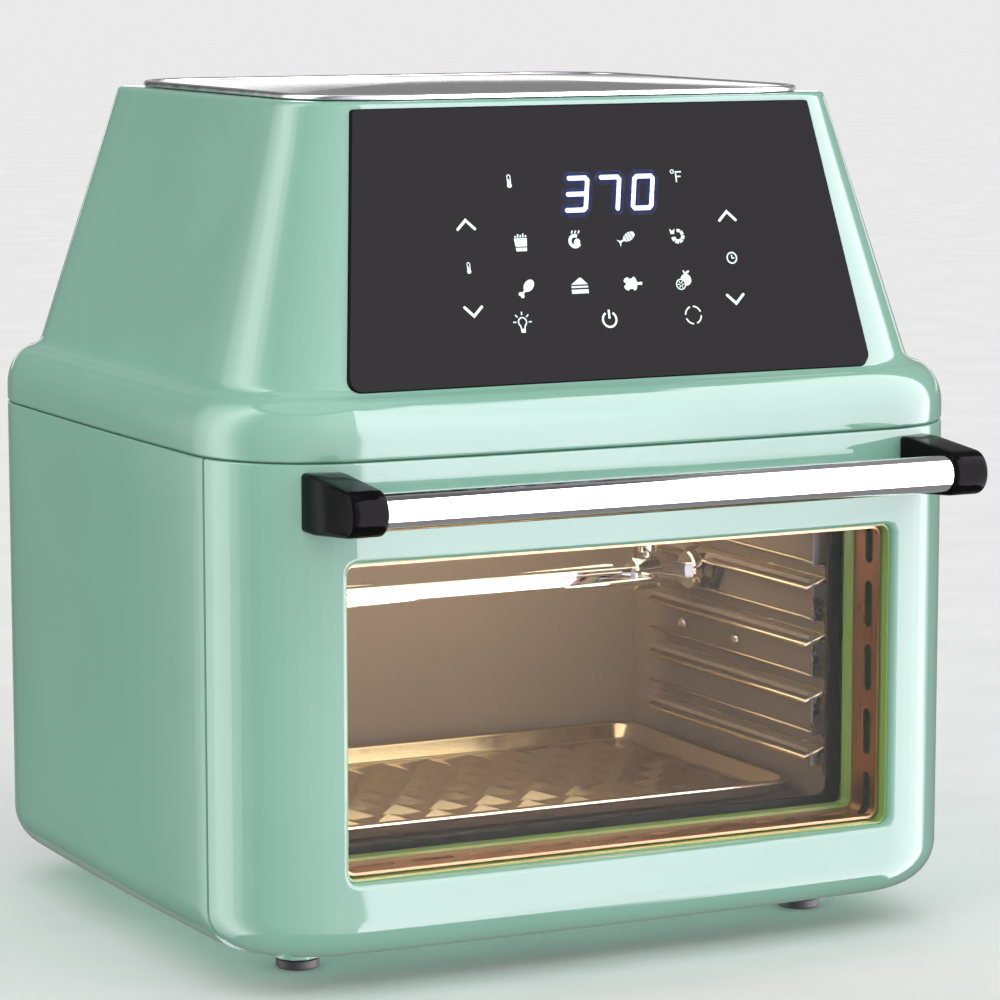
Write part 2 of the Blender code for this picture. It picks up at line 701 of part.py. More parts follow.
def make_door_inner_frame():
    """The metal sleeve between the two panes, open at both ends."""
    front = OUTER_GLASS_Y + GLASS_THICKNESS / 2 + CLEARANCE
    back = INNER_GLASS_Y - GLASS_THICKNESS / 2 - CLEARANCE
    grow = SLEEVE_WALL
    inner = rounded((-SLEEVE_HALF_WIDTH + grow, SLEEVE_Z[0] + grow),
                    (SLEEVE_HALF_WIDTH - grow, SLEEVE_Z[1] - grow), 4 * MM)
    outer = rounded((-SLEEVE_HALF_WIDTH, SLEEVE_Z[0]), (SLEEVE_HALF_WIDTH, SLEEVE_Z[1]), 5.2 * MM)
    add_piece("door_inner_frame", plate_mesh([outer, inner], back - front), "steel", DOOR,
              (0, (front + back) / 2, 0), "XZ")


def make_door_back_panel():
    rim = rounded((-182.4 * MM, 44 * MM), (182.4 * MM, 234.9 * MM), 4 * MM)
    hole = rounded((-136 * MM, 55 * MM), (136 * MM, 193 * MM), 5 * MM)
    panel = add_piece("door_back_panel", plate_mesh([rim, hole], BACK_PANEL_THICKNESS), "steel", DOOR,
                      (0, BACK_PANEL_Y, 0), "XZ")
    return panel


def make_door_switch():
    box("door_switch", (150 * MM, -118.2 * MM, 213 * MM), (168 * MM, -110 * MM, 227 * MM), "dark_plastic",
        OVEN, 0.6 * MM)


def make_hinges():
    for side, sign in SIDES.items():
        x = sign * 158.5 * MM
        arm = [(-88 * MM, 24.2 * MM), (-88 * MM, 48 * MM), (-112 * MM, 40 * MM)]
        arm += arc((HINGE_Y, HINGE_Z), 6.5 * MM, 50, 310, 12)
        arm += [(-118 * MM, 30 * MM), (-114 * MM, 24.2 * MM)]
        eye = arc((HINGE_Y, HINGE_Z), PIN_RADIUS + CLEARANCE, 0, 330, 11)
        add_piece("hinge_bracket_" + side, plate_mesh([arm, eye], 3 * MM), "steel", OVEN, (x, 0, 0), "YZ")
        profile = [(0, 22 * MM), (PIN_RADIUS - 0.5 * MM, 22 * MM), (PIN_RADIUS, 21.5 * MM),
                   (PIN_RADIUS, 2 * MM), (5 * MM, 2 * MM), (5 * MM, 0), (0, 0)]
        turned("hinge_pin_" + side, profile, "steel", DOOR,
               (sign * 154 * MM, HINGE_Y, HINGE_Z), (0, sign * math.pi / 2, 0), steps=FINE_ROUND)


# ---------------------------------------------------------------- handle
BRACKET_X = HANDLE_HALF_WIDTH - BRACKET_WIDTH / 2
BRACKET_GAP = 0.45 * MM
BRACKET_CHAMFER = 1.4 * MM


def face_depth(x):
    """Depth of the door's faceted front face at this distance from its middle."""
    points = body_outline(0)
    for start, end in zip(points, points[1:]):
        if start.x <= x < end.x and end.y < 0:
            return start.y + (end.y - start.y) * (x - start.x) / (end.x - start.x)
    raise ValueError("outside the door's face")


def bracket_ring(x, inset):
    """Side outline of a handle bracket: tall at the door's face, rounded at the front."""
    nose = 10.2 * MM
    shoulder = -172 * MM
    low, high = HANDLE_Z - BRACKET_HEIGHT / 2 + inset, HANDLE_Z + BRACKET_HEIGHT / 2 - inset
    rear = face_depth(abs(x)) - BRACKET_GAP
    outline_points = [(rear, high), (shoulder, high)]
    outline_points += arc((HANDLE_FRONT + nose, HANDLE_Z), nose - inset, 97, 263, 10)
    outline_points += [(shoulder, low), (rear, low)]
    return [(x, y, z) for y, z in outline_points]


def bracket_mesh(sign):
    inner, outer = BRACKET_X - BRACKET_WIDTH / 2, BRACKET_X + BRACKET_WIDTH / 2
    stations = [(inner, BRACKET_CHAMFER), (inner + BRACKET_CHAMFER, 0)]
    stations += [(point.x, 0) for point in body_outline(0)
                 if point.y < 0 and inner + BRACKET_CHAMFER < point.x < outer - BRACKET_CHAMFER]
    stations += [(outer - BRACKET_CHAMFER, 0), (outer, BRACKET_CHAMFER)]
    rings = [bracket_ring(sign * x, inset) for x, inset in stations[::sign]]
    return loft_mesh(rings, True, True)


def make_handle():
    reach = 2 * (HANDLE_HALF_WIDTH - BRACKET_WIDTH + TUBE_SOCKET)
    socket = rod_cutter("tube_socket", TUBE_RADIUS + CLEARANCE, reach + 2 * CLEARANCE,
                        (0, TUBE_Y + 1 * MM, HANDLE_Z), "X", 32)
    for side, sign in SIDES.items():
        bracket = add_piece("handle_bracket_" + side, bracket_mesh(sign), "black_plastic", DOOR)
        cut(bracket, socket, "MANIFOLD")
        cut(bracket, rod_cutter("handle_screw_hole_" + side, 2.3 * MM, 36 * MM,
                                (sign * BRACKET_X, -170 * MM, HANDLE_Z), "Y", 12), "MANIFOLD")
        smooth(bracket, 50)
        profile = [(0, 3 * MM), (3 * MM, 3 * MM), (4 * MM, 2 * MM), (4 * MM, 0), (2 * MM, 0),
                   (2 * MM, -24 * MM), (0, -25 * MM)]
        turned("handle_screw_" + side, profile, "steel", DOOR,
               (sign * BRACKET_X, -158.6 * MM, HANDLE_Z), (-math.pi / 2, 0, 0), steps=FINE_ROUND)
    end, bore = reach / 2, TUBE_RADIUS - 1.2 * MM
    profile = [(bore, end), (TUBE_RADIUS, end), (TUBE_RADIUS, -end), (bore, -end)]
    turned("handle_tube", profile, "chrome", DOOR, (0, TUBE_Y + 1 * MM, HANDLE_Z), "X", steps=24)


# ---------------------------------------------------------------- cavity
def make_cavity():
    low = (-CAVITY_HALF_WIDTH, CAVITY_FRONT, CAVITY_FLOOR)
    high = (CAVITY_HALF_WIDTH, CAVITY_BACK, CAVITY_CEILING)
    grown = [(value - LINER_WALL, value + LINER_WALL) for value in low]
    liner = box("cavity_liner", [grown[0][0], low[1], grown[2][0]],
                [value + LINER_WALL for value in high], "steel")
    cut(liner, box_cutter("cavity_cutter", (low[0], low[1] - 20 * MM, low[2]), high))
    cut(liner, rod_cutter("fan_opening_cutter", FAN_OPENING, 30 * MM, (0, FAN_Y, CAVITY_CEILING), "Z", 32))
    cut(liner, rod_cutter("drive_hole_cutter", 10 * MM, 10 * MM, (CAVITY_HALF_WIDTH, SPIT_Y, SPIT_Z), "X"))
    cut(liner, rod_cutter("lamp_hole_cutter", 16 * MM, 10 * MM, (LAMP_X, CAVITY_BACK, LAMP_Z), "Y"))
    cut(liner, rod_cutter("sensor_hole_cutter", 3 * MM, 10 * MM, (SENSOR_X, CAVITY_BACK, LAMP_Z), "Y", 12))
    front = CAVITY_FRONT - CLEARANCE - 0.6 * MM
    rim = rounded((-184 * MM, 48 * MM), (184 * MM, 237.6 * MM), 3 * MM)
    mouth = rounded((-136 * MM, 53.6 * MM), (136 * MM, 229 * MM), 3 * MM)
    add_piece("front_flange", plate_mesh([rim, mouth], 1.2 * MM), "steel", OVEN, (0, front, 0), "XZ")
    seal_outer = rounded((-141 * MM, 49.5 * MM), (141 * MM, 233 * MM), 7 * MM)
    seal_inner = rounded((-131 * MM, 60 * MM), (131 * MM, 224 * MM), 5 * MM)
    add_piece("door_gasket", plate_mesh([seal_outer, seal_inner], 3 * MM), "rubber", OVEN,
              (0, front - 0.6 * MM - CLEARANCE - 1.5 * MM, 0), "XZ")


def make_rack_guides():
    wall = 1.2 * MM
    front, back = RACK_Y
    for side, sign in SIDES.items():
        outer = sign * (CAVITY_HALF_WIDTH - CLEARANCE)
        across = sorted((outer, outer - sign * wall))
        low_z = RACK_FIRST_Z - 12 * MM
        high_z = RACK_FIRST_Z + RACK_PITCH * (RACK_LEVELS - 1) + 8 * MM
        guide = box("rack_guide_" + side, (across[0], front, low_z), (across[1], back, high_z), "steel")
        for level in range(RACK_LEVELS):
            z = RACK_FIRST_Z + RACK_PITCH * level
            reach = sorted((outer - sign * 0.3 * MM, outer - sign * RACK_REACH))
            join(guide, box_cutter("ledge_%s_%d" % (side, level), (reach[0], front + 0.4 * MM, z - 1 * MM),
                                   (reach[1], back - 0.4 * MM, z + 1 * MM)))
        if side == "right":
            cut(guide, rod_cutter("guide_drive_cutter", 14 * MM, 30 * MM,
                                  (CAVITY_HALF_WIDTH, SPIT_Y, SPIT_Z), "X"))


def make_drip_tray():
    width, front, back = 262 * MM, -101 * MM, 72 * MM
    middle = (front + back) / 2
    rings = []
    for inset, height in ((0, 62.2 * MM), (0, 63.2 * MM), (5 * MM, 63.2 * MM), (9 * MM, 56 * MM)):
        loop = outline(width - 2 * inset, back - front - 2 * inset, 14 * MM - inset)
        rings.append([(point.x, point.y + middle, height) for point in loop])
    tray = add_piece("drip_tray", loft_mesh(rings, False, True), "steel", OVEN)
    add_wall(tray, 1 * MM)
    return smooth(tray)


# ---------------------------------------------------------------- rotisserie
def make_spit():
    right = 131 * MM
    left = -133.5 * MM
    box("spit_shaft", (left, SPIT_Y - SPIT_SIDE / 2, SPIT_Z - SPIT_SIDE / 2),
        (right - 5 * MM, SPIT_Y + SPIT_SIDE / 2, SPIT_Z + SPIT_SIDE / 2), "chrome", SPIT, 0.8 * MM)
    hole = box_cutter("spit_hole_cutter", (left - 1 * MM, SPIT_Y - SPIT_SIDE / 2 - CLEARANCE,
                                           SPIT_Z - SPIT_SIDE / 2 - CLEARANCE),
                      (right - 5 * MM + CLEARANCE, SPIT_Y + SPIT_SIDE / 2 + CLEARANCE,
                       SPIT_Z + SPIT_SIDE / 2 + CLEARANCE))
    profile = [(0, 26 * MM), (3.5 * MM, 26 * MM), (3.5 * MM, 16 * MM), (8 * MM, 16 * MM), (8 * MM, 6 * MM),
               (9.5 * MM, 5 * MM), (9.5 * MM, 0), (0, 0)]
    socket = turned("spit_drive_socket", profile, "chrome", SPIT,
                                (120 * MM, SPIT_Y, SPIT_Z), "X")
    cut(socket, hole)
    for side, sign in SIDES.items():
        make_fork(side, sign, hole)


def make_fork(side, sign, hole):
    """A spit fork: square-holed hub, cross bar and two pointed tines."""
    hub_x = sign * 96 * MM
    bar_half, tine_length = 27 * MM, 52 * MM
    fork = rod("spit_fork_" + side, 8.5 * MM, 14 * MM, (hub_x, SPIT_Y, SPIT_Z), "X", "chrome", SPIT)
    bar_x = hub_x - sign * 4 * MM
    join(fork, box_cutter("fork_bar_" + side, (bar_x - 1.4 * MM, SPIT_Y - bar_half, SPIT_Z - 4 * MM),
                          (bar_x + 1.4 * MM, SPIT_Y + bar_half, SPIT_Z + 4 * MM)))
    for end in (-1, 1):
        tine = rod_mesh(2 * MM, tine_length, 10, 0.5 * MM)
        join(fork, add_cutter("fork_tine_%s_%d" % (side, end), tine,
                              (bar_x - sign * tine_length / 2, SPIT_Y + end * (bar_half - 3 * MM), SPIT_Z),
                              (0, -sign * math.pi / 2, 0)))
    cut(fork, hole)
    screw_x = hub_x + sign * 2.5 * MM
    cut(fork, rod_cutter("fork_screw_hole_" + side, 2.3 * MM, 20 * MM,
                         (screw_x, SPIT_Y, SPIT_Z + 10.3 * MM), "Z", 12))
    stem = SPIT_SIDE / 2 + CLEARANCE
    profile = [(0, 21 * MM), (4.4 * MM, 21 * MM), (5 * MM, 20 * MM), (5 * MM, 11 * MM), (2 * MM, 10 * MM),
               (2 * MM, stem), (0, stem)]
    turned("fork_screw_" + side, profile, "chrome", SPIT, (screw_x, SPIT_Y, SPIT_Z), steps=FINE_ROUND)


def make_spit_support():
    """Cradle on the left wall with an open notch that the spit's end lies in."""
    x = -133.2 * MM
    notch = SPIT_SIDE * 0.72 + 0.5 * MM
    top, foot, half = SPIT_Z + 6.5 * MM, SPIT_Z - 16 * MM, 14 * MM
    loop = [(SPIT_Y - half, top), (SPIT_Y - half, foot), (SPIT_Y + half, foot), (SPIT_Y + half, top),
            (SPIT_Y + notch, top)]
    loop += arc((SPIT_Y, SPIT_Z), notch, 0, -180, 10)
    loop += [(SPIT_Y - notch, top)]
    add_piece("spit_support", plate_mesh([loop], 1.6 * MM), "steel", OVEN, (x, 0, 0), "YZ")


def make_rotisserie_motor():
    motor = box("rotisserie_motor", (140 * MM, SPIT_Y - 26 * MM, SPIT_Z - 26 * MM),
                (166 * MM, SPIT_Y + 26 * MM, SPIT_Z + 26 * MM), "motor_steel", OVEN, 2 * MM)
    cut(motor, rod_cutter("motor_hole_cutter", 3.8 * MM, 20 * MM, (140 * MM, SPIT_Y, SPIT_Z), "X"))
    for name, y in (("front", SPIT_Y - 26.4 * MM), ("back", SPIT_Y + 26.4 * MM)):
        z = SPIT_Z - 32.5 * MM
        profile = [(0, 2 * MM), (2.2 * MM, 1.8 * MM), (3.4 * MM, 0.8 * MM), (3.4 * MM, 0), (0, 0)]
        inner = CAVITY_HALF_WIDTH - CLEARANCE * 2 - 1.2 * MM
        turned("motor_screw_" + name, profile, "chrome", OVEN, (inner, y, z), (0, -math.pi / 2, 0),
               steps=FINE_ROUND)


# ---------------------------------------------------------------- heating and air
def make_heater():
    turns, level = 2, 222 * MM
    points = []
    steps = 30
    for step in range(steps + 1):
        share = step / steps
        angle = 2 * math.pi * turns * share + math.pi / 2
        radius = (72 - 26 * share) * MM
        points.append((radius * math.cos(angle), FAN_Y + radius * math.sin(angle), level))
    points.insert(0, (points[0][0] + 6 * MM, CAVITY_BACK - 1 * MM, level))
    wire = wire_mesh(points, 3.2 * MM)
    add_piece("heating_element", wire, "heater_steel", OVEN)


def make_heater_guard():
    """Round wire guard under the heater: a flat ring with bars across it."""
    level = 212 * MM
    rim = arc((0, FAN_Y), 88 * MM, 0, 352.5, 47)
    holes = []
    bars = 7
    pitch = 168 * MM / bars
    inner = 84 * MM
    for bar in range(bars):
        low = -inner + pitch * bar + 1.2 * MM
        high = -inner + pitch * (bar + 1) - 1.2 * MM
        reach = [(x, math.sqrt(max(inner ** 2 - x ** 2, (6 * MM) ** 2))) for x in
                 [low + (high - low) * step / 3 for step in range(4)]]
        holes.append([(x, FAN_Y - y) for x, y in reach] + [(x, FAN_Y + y) for x, y in reversed(reach)])
    add_piece("heater_guard", plate_mesh([rim] + holes, 2 * MM), "steel", OVEN, (0, 0, level))


def make_fan(name, blades, radius, low, high, hub_radius, look):
    """A paddle fan: hub and back plate with upright blades, on the fan shaft."""
    middle = (low + high) / 2
    fan = rod(name, radius, 1.4 * MM, (0, FAN_Y, high - 0.7 * MM), "Z", look, FAN, 32)
    join(fan, rod_cutter(name + "_hub", hub_radius, high - low, (0, FAN_Y, middle), "Z"))
    for blade in range(blades):
        angle = 2 * math.pi * blade / blades
        inner, outer = hub_radius - 1 * MM, radius - 1.5 * MM
        reach = (inner + outer) / 2
        paddle = add_cutter("%s_blade_%d" % (name, blade),
                            box_mesh((outer - inner, 1.4 * MM, high - low - 1 * MM)),
                            (reach * math.cos(angle), FAN_Y + reach * math.sin(angle), middle + 0.3 * MM),
                            (0, 0, angle))
        join(fan, paddle)
    cut(fan, rod_cutter(name + "_bore", 2.8 * MM, 60 * MM, (0, FAN_Y, middle), "Z"))
    return fan


def make_air_system():
    make_fan("convection_fan", 6, 62 * MM, 235 * MM, 250 * MM, 9 * MM, "aluminium")
    make_fan("cooling_fan", 6, 46 * MM, 316 * MM, 330 * MM, 9 * MM, "aluminium")
    rod("fan_shaft", 2.5 * MM, 100 * MM, (0, FAN_Y, 284 * MM), "Z", "steel", FAN)
    profile = [(4 * MM, 260 * MM), (86 * MM, 260 * MM), (90 * MM, 256 * MM), (90 * MM, 234 * MM),
               (94 * MM, 234 * MM), (94 * MM, 233.6 * MM), (88.8 * MM, 233.6 * MM), (88.8 * MM, 255.5 * MM),
               (85.5 * MM, 258.8 * MM), (4 * MM, 258.8 * MM)]
    turned("fan_housing", profile, "steel", OVEN, (0, FAN_Y, 0))
    profile = [(4 * MM, 306 * MM), (18 * MM, 306 * MM), (30 * MM, 300 * MM), (30 * MM, 272 * MM),
               (18 * MM, 266 * MM), (18 * MM, 260.4 * MM), (4 * MM, 260.4 * MM)]
    turned("fan_motor", profile, "motor_steel", OVEN, (0, FAN_Y, 0))


# ---------------------------------------------------------------- lamp, sensor, power board
LAMP_X = -95 * MM
LAMP_Z = 196 * MM
SENSOR_X = 95 * MM


def make_lamp():
    face = CAVITY_BACK - CLEARANCE
    lens = [(0, 0), (8 * MM, -1.2 * MM), (15 * MM, -5 * MM), (18.5 * MM, -8 * MM), (18.5 * MM, -9.4 * MM),
            (0, -9.4 * MM)]
    turned("lamp_lens", lens, "clear_glass", OVEN, (LAMP_X, face - 9.5 * MM, LAMP_Z),
                       (math.pi / 2, 0, 0))
    bulb = [(0, 0), (4 * MM, -1.5 * MM), (7 * MM, -6 * MM), (7 * MM, -12 * MM), (4.5 * MM, -17 * MM),
            (4.5 * MM, -30 * MM), (0, -30 * MM)]
    turned("lamp_bulb", bulb, "clear_glass", OVEN, (LAMP_X, face + 2 * MM, LAMP_Z),
                       (math.pi / 2, 0, 0))
    holder = [(0, 34 * MM), (11 * MM, 34 * MM), (14 * MM, 31 * MM), (14 * MM, 2 * MM), (22 * MM, 2 * MM),
              (22 * MM, 0), (12 * MM, 0), (12 * MM, 18 * MM), (4.8 * MM, 18 * MM), (4.8 * MM, 31.4 * MM),
              (0, 31.4 * MM)]
    turned("lamp_socket", holder, "ceramic", OVEN,
                       (LAMP_X, CAVITY_BACK + LINER_WALL + CLEARANCE, LAMP_Z), (-math.pi / 2, 0, 0))


def make_sensor_and_board():
    probe = [(0, 0), (1.6 * MM, -0.8 * MM), (2 * MM, -2 * MM), (2 * MM, -24 * MM), (5 * MM, -24 * MM),
             (5 * MM, -30 * MM), (0, -30 * MM)]
    turned("temperature_sensor", probe, "steel", OVEN,
                       (SENSOR_X, CAVITY_BACK - 22.4 * MM, LAMP_Z), (math.pi / 2, 0, 0), steps=FINE_ROUND)
    box("power_board", (-70 * MM, 118 * MM, 96 * MM), (70 * MM, 119.6 * MM, 190 * MM), "board")


def main():
    make_top_hood()
    make_control_panel()
    make_exhaust_grille()
    make_top_cover()
    make_body_shell()
    make_rear_cover()
    make_cord_gland()
    make_base_and_feet()
    make_chassis_deck()
    make_door_shell()
    make_door_glass()
    make_door_inner_frame()
    make_door_back_panel()
    make_door_switch()
    make_hinges()
    make_handle()
    make_cavity()
    make_rack_guides()
    make_drip_tray()
    make_spit()
    make_spit_support()
    make_rotisserie_motor()
    make_heater()
    make_heater_guard()
    make_air_system()
    make_lamp()
    make_sensor_and_board()


main()
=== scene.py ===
"""Looks of a countertop air-fryer oven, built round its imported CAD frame.

Shapes are given in millimetres in the oven's own frame: x to the right seen from the front, y to the
back, z up from the surface that the feet stand on. OVEN_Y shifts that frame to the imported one.
"""

import math

import bmesh
import bpy
from mathutils import Matrix, Vector
from mathutils.bvhtree import BVHTree


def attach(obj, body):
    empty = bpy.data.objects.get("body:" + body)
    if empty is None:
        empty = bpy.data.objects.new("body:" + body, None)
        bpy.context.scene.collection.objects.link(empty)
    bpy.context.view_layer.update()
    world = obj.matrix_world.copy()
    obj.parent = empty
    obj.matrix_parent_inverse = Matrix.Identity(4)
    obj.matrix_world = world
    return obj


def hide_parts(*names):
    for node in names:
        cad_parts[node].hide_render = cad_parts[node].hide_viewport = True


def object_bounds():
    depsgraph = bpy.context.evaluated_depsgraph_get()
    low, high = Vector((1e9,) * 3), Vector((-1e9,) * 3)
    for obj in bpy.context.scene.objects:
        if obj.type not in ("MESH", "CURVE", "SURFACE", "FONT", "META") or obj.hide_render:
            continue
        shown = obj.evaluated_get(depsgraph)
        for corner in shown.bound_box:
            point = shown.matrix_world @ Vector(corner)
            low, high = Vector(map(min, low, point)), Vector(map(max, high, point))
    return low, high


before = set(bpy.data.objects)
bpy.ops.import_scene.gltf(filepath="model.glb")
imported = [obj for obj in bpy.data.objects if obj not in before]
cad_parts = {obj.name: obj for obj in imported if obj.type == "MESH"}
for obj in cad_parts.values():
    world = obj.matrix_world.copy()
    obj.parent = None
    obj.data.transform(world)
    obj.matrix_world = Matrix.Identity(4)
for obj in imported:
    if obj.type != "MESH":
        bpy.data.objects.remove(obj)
cad_low, cad_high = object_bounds()

MM = 0.001
OVEN_Y = 20.5

BODY = (380, 340, 56.5)            # width, depth, corner radius
BODY_BOW = (1.4, 3.2)              # how far the sides and the front swell
BODY_BOTTOM = 17.3
BOTTOM_FILLET = 20.9
SEAM_LOW, SEAM_HIGH = 239.0, 239.8
SKIN = 3.0
DOOR_REAR = -122.2
BODY_FRONT = -120.6
HINGE = (-140, 35)                 # y, z
DOOR_HEEL = 17.7

SHOULDER_BASE = 247.0
TOWER_BASE = (349.5, 307.3, 47.6, 266.8)     # width, depth, corner radius, height
TOWER_TOP = (279.6, 242.9, 30.2, 388.6)
TOWER_BOW = 0.6
TOWER_EDGE = 3.0

WINDOW = (142, 49.9, 198.2, 8)     # half width, low, high, corner radius
WINDOW_EDGE = 3.2
HANDLE_Z = 222.7
TUBE_Y = -204
TUBE_RADIUS = 8.3
BRACKET = (141, 158.5, 26)         # inner face, outer face, height

SPIT = (-3, 152.4)                 # y, z
CORNER_STEPS = 16
BOW_STEPS = 10

BODY_PART, DOOR_PART, SPIT_PART = "oven_body", "door", "spit"


# ---------------------------------------------------------------- materials
def new_material(name, color, roughness, metallic=0.0, specular=0.5, alpha=1.0, glow=None,
                 glow_strength=0.0):
    material = bpy.data.materials.new(name)
    material.use_nodes = True
    shader = material.node_tree.nodes["Principled BSDF"]
    shader.inputs["Base Color"].default_value = (*color, 1)
    shader.inputs["Roughness"].default_value = roughness
    shader.inputs["Metallic"].default_value = metallic
    shader.inputs["Specular IOR Level"].default_value = specular
    shader.inputs["Alpha"].default_value = alpha
    if glow:
        shader.inputs["Emission Color"].default_value = (*glow, 1)
        shader.inputs["Emission Strength"].default_value = glow_strength
    return material


def pattern(material, scale, stretch=(1, 1, 1), detail=3.0):
    """A noise over object coordinates, stretched along its axes; returns its output socket."""
    tree = material.node_tree
    place = tree.nodes.new("ShaderNodeTexCoord")
    mapping = tree.nodes.new("ShaderNodeMapping")
    mapping.inputs["Scale"].default_value = stretch
    noise = tree.nodes.new("ShaderNodeTexNoise")
    noise.inputs["Scale"].default_value = scale
    noise.inputs["Detail"].default_value = detail
    tree.links.new(place.outputs["Object"], mapping.inputs["Vector"])
    tree.links.new(mapping.outputs["Vector"], noise.inputs["Vector"])
    return noise.outputs["Fac"]


def spread(material, source, low, high):
    """Maps a noise to a range of numbers."""
    node = material.node_tree.nodes.new("ShaderNodeMapRange")
    node.inputs["From Min"].default_value = 0.3
    node.inputs["From Max"].default_value = 0.7
    node.inputs["To Min"].default_value = low
    node.inputs["To Max"].default_value = high
    material.node_tree.links.new(source, node.inputs["Value"])
    return node.outputs["Result"]


def vary_color(material, source, dark, light):
    """Runs the base colour between two colours with a noise."""
    ramp = material.node_tree.nodes.new("ShaderNodeValToRGB")
    ramp.color_ramp.elements[0].position = 0.32
    ramp.color_ramp.elements[0].color = (*dark, 1)
    ramp.color_ramp.elements[1].position = 0.68
    ramp.color_ramp.elements[1].color = (*light, 1)
    material.node_tree.links.new(source, ramp.inputs["Fac"])
    shader = material.node_tree.nodes["Principled BSDF"]
    material.node_tree.links.new(ramp.outputs["Color"], shader.inputs["Base Color"])


def vary_roughness(material, source, low, high):
    shader = material.node_tree.nodes["Principled BSDF"]
    material.node_tree.links.new(spread(material, source, low, high), shader.inputs["Roughness"])


def add_bump(material, source, strength, depth):
    bump = material.node_tree.nodes.new("ShaderNodeBump")
    bump.inputs["Strength"].default_value = strength
    bump.inputs["Distance"].default_value = depth
    material.node_tree.links.new(source, bump.inputs["Height"])
    shader = material.node_tree.nodes["Principled BSDF"]
    material.node_tree.links.new(bump.outputs["Normal"], shader.inputs["Normal"])


def tinted(color, share):
    return tuple(min(1.0, value * share) for value in color)


def plastic(name, color, roughness, grain=900, bump=0.04, specular=0.5):
    """Moulded plastic: a very slight cloudiness, uneven gloss and a fine skin."""
    material = new_material(name, color, roughness, specular=specular)
    vary_color(material, pattern(material, 14), tinted(color, 0.975), tinted(color, 1.025))
    vary_roughness(material, pattern(material, 60), roughness * 0.85, roughness * 1.15)
    if bump:
        add_bump(material, pattern(material, grain, detail=2), bump, 0.0002)
    return material


def metal(name, color, roughness, stretch=(1, 1, 1), scale=90, bump=0.05, shift=0.08):
    """Sheet metal: brushed along the axis that isn't stretched."""
    material = new_material(name, color, roughness, metallic=1.0)
    grain = pattern(material, scale, stretch, 4)
    vary_color(material, grain, tinted(color, 1 - shift), tinted(color, 1 + shift))
    vary_roughness(material, grain, roughness * 0.75, roughness * 1.3)
    if bump:
        add_bump(material, grain, bump, 0.0002)
    return material


MINT = (0.345, 0.655, 0.52)
LOOKS = {
    "mint": plastic("mint_plastic", MINT, 0.035, grain=300, bump=0.004),
    "black": plastic("black_gloss", (0.006, 0.006, 0.0065), 0.12, grain=700, bump=0.02, specular=0.035),
    "dark": plastic("dark_plastic", (0.03, 0.03, 0.033), 0.42, bump=0.1, specular=0.2),
    "panel": plastic("panel_glass", (0.012, 0.012, 0.0125), 0.03, bump=0, specular=0.04),
    "plate": metal("cover_plate", (0.42, 0.42, 0.425), 0.035, (1, 60, 1), 60, 0.02, 0.04),
    "rim": metal("cover_rim", (0.72, 0.72, 0.73), 0.2, (1, 1, 1), 120, 0.02, 0.04),
    "chrome": metal("chrome", (0.86, 0.86, 0.87), 0.035, (0.1, 6, 6), 120, 0.0, 0.015),
    "steel": metal("plain_steel", (0.62, 0.61, 0.59), 0.3, (1, 20, 1), 70, 0.06),
    "liner": plastic("liner_satin", (0.42, 0.335, 0.25), 0.38, grain=1500, bump=0.03, specular=0.12),
    "tray": metal("tray_steel", (0.72, 0.62, 0.44), 0.2, (1, 1, 1), 160, 0.04, 0.04),
    # steel sleeve with a coppery tint: the tint is a painted reflection of the warm cavity
    "sleeve": metal("sleeve_steel_painted_warm_reflection", (0.5, 0.27, 0.15), 0.35, (1, 10, 1), 60, 0.02),
    "glint": metal("bright_steel", (0.86, 0.86, 0.88), 0.3, (1, 1, 1), 120, 0.02, 0.04),
    "glass_edge": plastic("glass_edge", (0.3, 0.5, 0.14), 0.15, bump=0.02),
    "floor": plastic("floor", (0.96, 0.96, 0.96), 0.9, bump=0, specular=0.0),
    "rack": metal("rack_steel", (0.92, 0.82, 0.58), 0.22, (8, 1, 1), 80, 0.03),
    # painted shade: a dark green that stands for the shadowed depth of the seam under the hood
    "seam": plastic("seam_painted_shade", (0.09, 0.19, 0.145), 0.5, bump=0.05, specular=0.15),
    "backing": plastic("sleeve_backing", (0.04, 0.11, 0.06), 0.5, bump=0.05, specular=0.15),
    "aluminium": metal("aluminium", (0.74, 0.75, 0.76), 0.32, (1, 12, 1), 80, 0.05),
    "heater": metal("heater_sheath", (0.16, 0.13, 0.115), 0.45, (1, 1, 1), 200, 0.1, 0.2),
    "motor": metal("zinc_plate", (0.45, 0.46, 0.48), 0.4, (1, 1, 1), 140, 0.08, 0.1),
    "rubber": plastic("foot_rubber", (0.016, 0.016, 0.016), 0.6, grain=1200, bump=0.25),
    "gasket": plastic("seal_silicone", (0.012, 0.011, 0.010), 0.38, grain=1200, bump=0.1, specular=0.15),
    "board": plastic("circuit_board", (0.02, 0.15, 0.07), 0.5, bump=0.1),
    "ceramic": plastic("ceramic", (0.82, 0.8, 0.75), 0.5, bump=0.15),
}


def make_glass(name, color, alpha):
    material = new_material(name, color, 0.02, specular=0.35, alpha=alpha)
    vary_roughness(material, pattern(material, 30), 0.02, 0.032)
    return material


def make_light_material(name, color, strength, alpha=1.0):
    material = new_material(name, tinted(color, 0.6), 0.4, specular=0.2, alpha=alpha, glow=color,
                            glow_strength=strength)
    vary_roughness(material, pattern(material, 200), 0.36, 0.44)
    return material


LOOKS["glass"] = make_glass("door_glass", (0.10, 0.16, 0.12), 0.045)
LOOKS["lamp"] = make_light_material("lamp_glass", (1.0, 0.72, 0.38), 3.0)
LOOKS["icon"] = make_light_material("icon_print", (0.80, 0.95, 0.93), 0.78)
LOOKS["digit"] = make_light_material("digit_light", (0.93, 0.97, 1.0), 1.25)
LOOKS["halo"] = make_light_material("digit_halo", (0.22, 0.32, 1.0), 0.5, alpha=0.03)


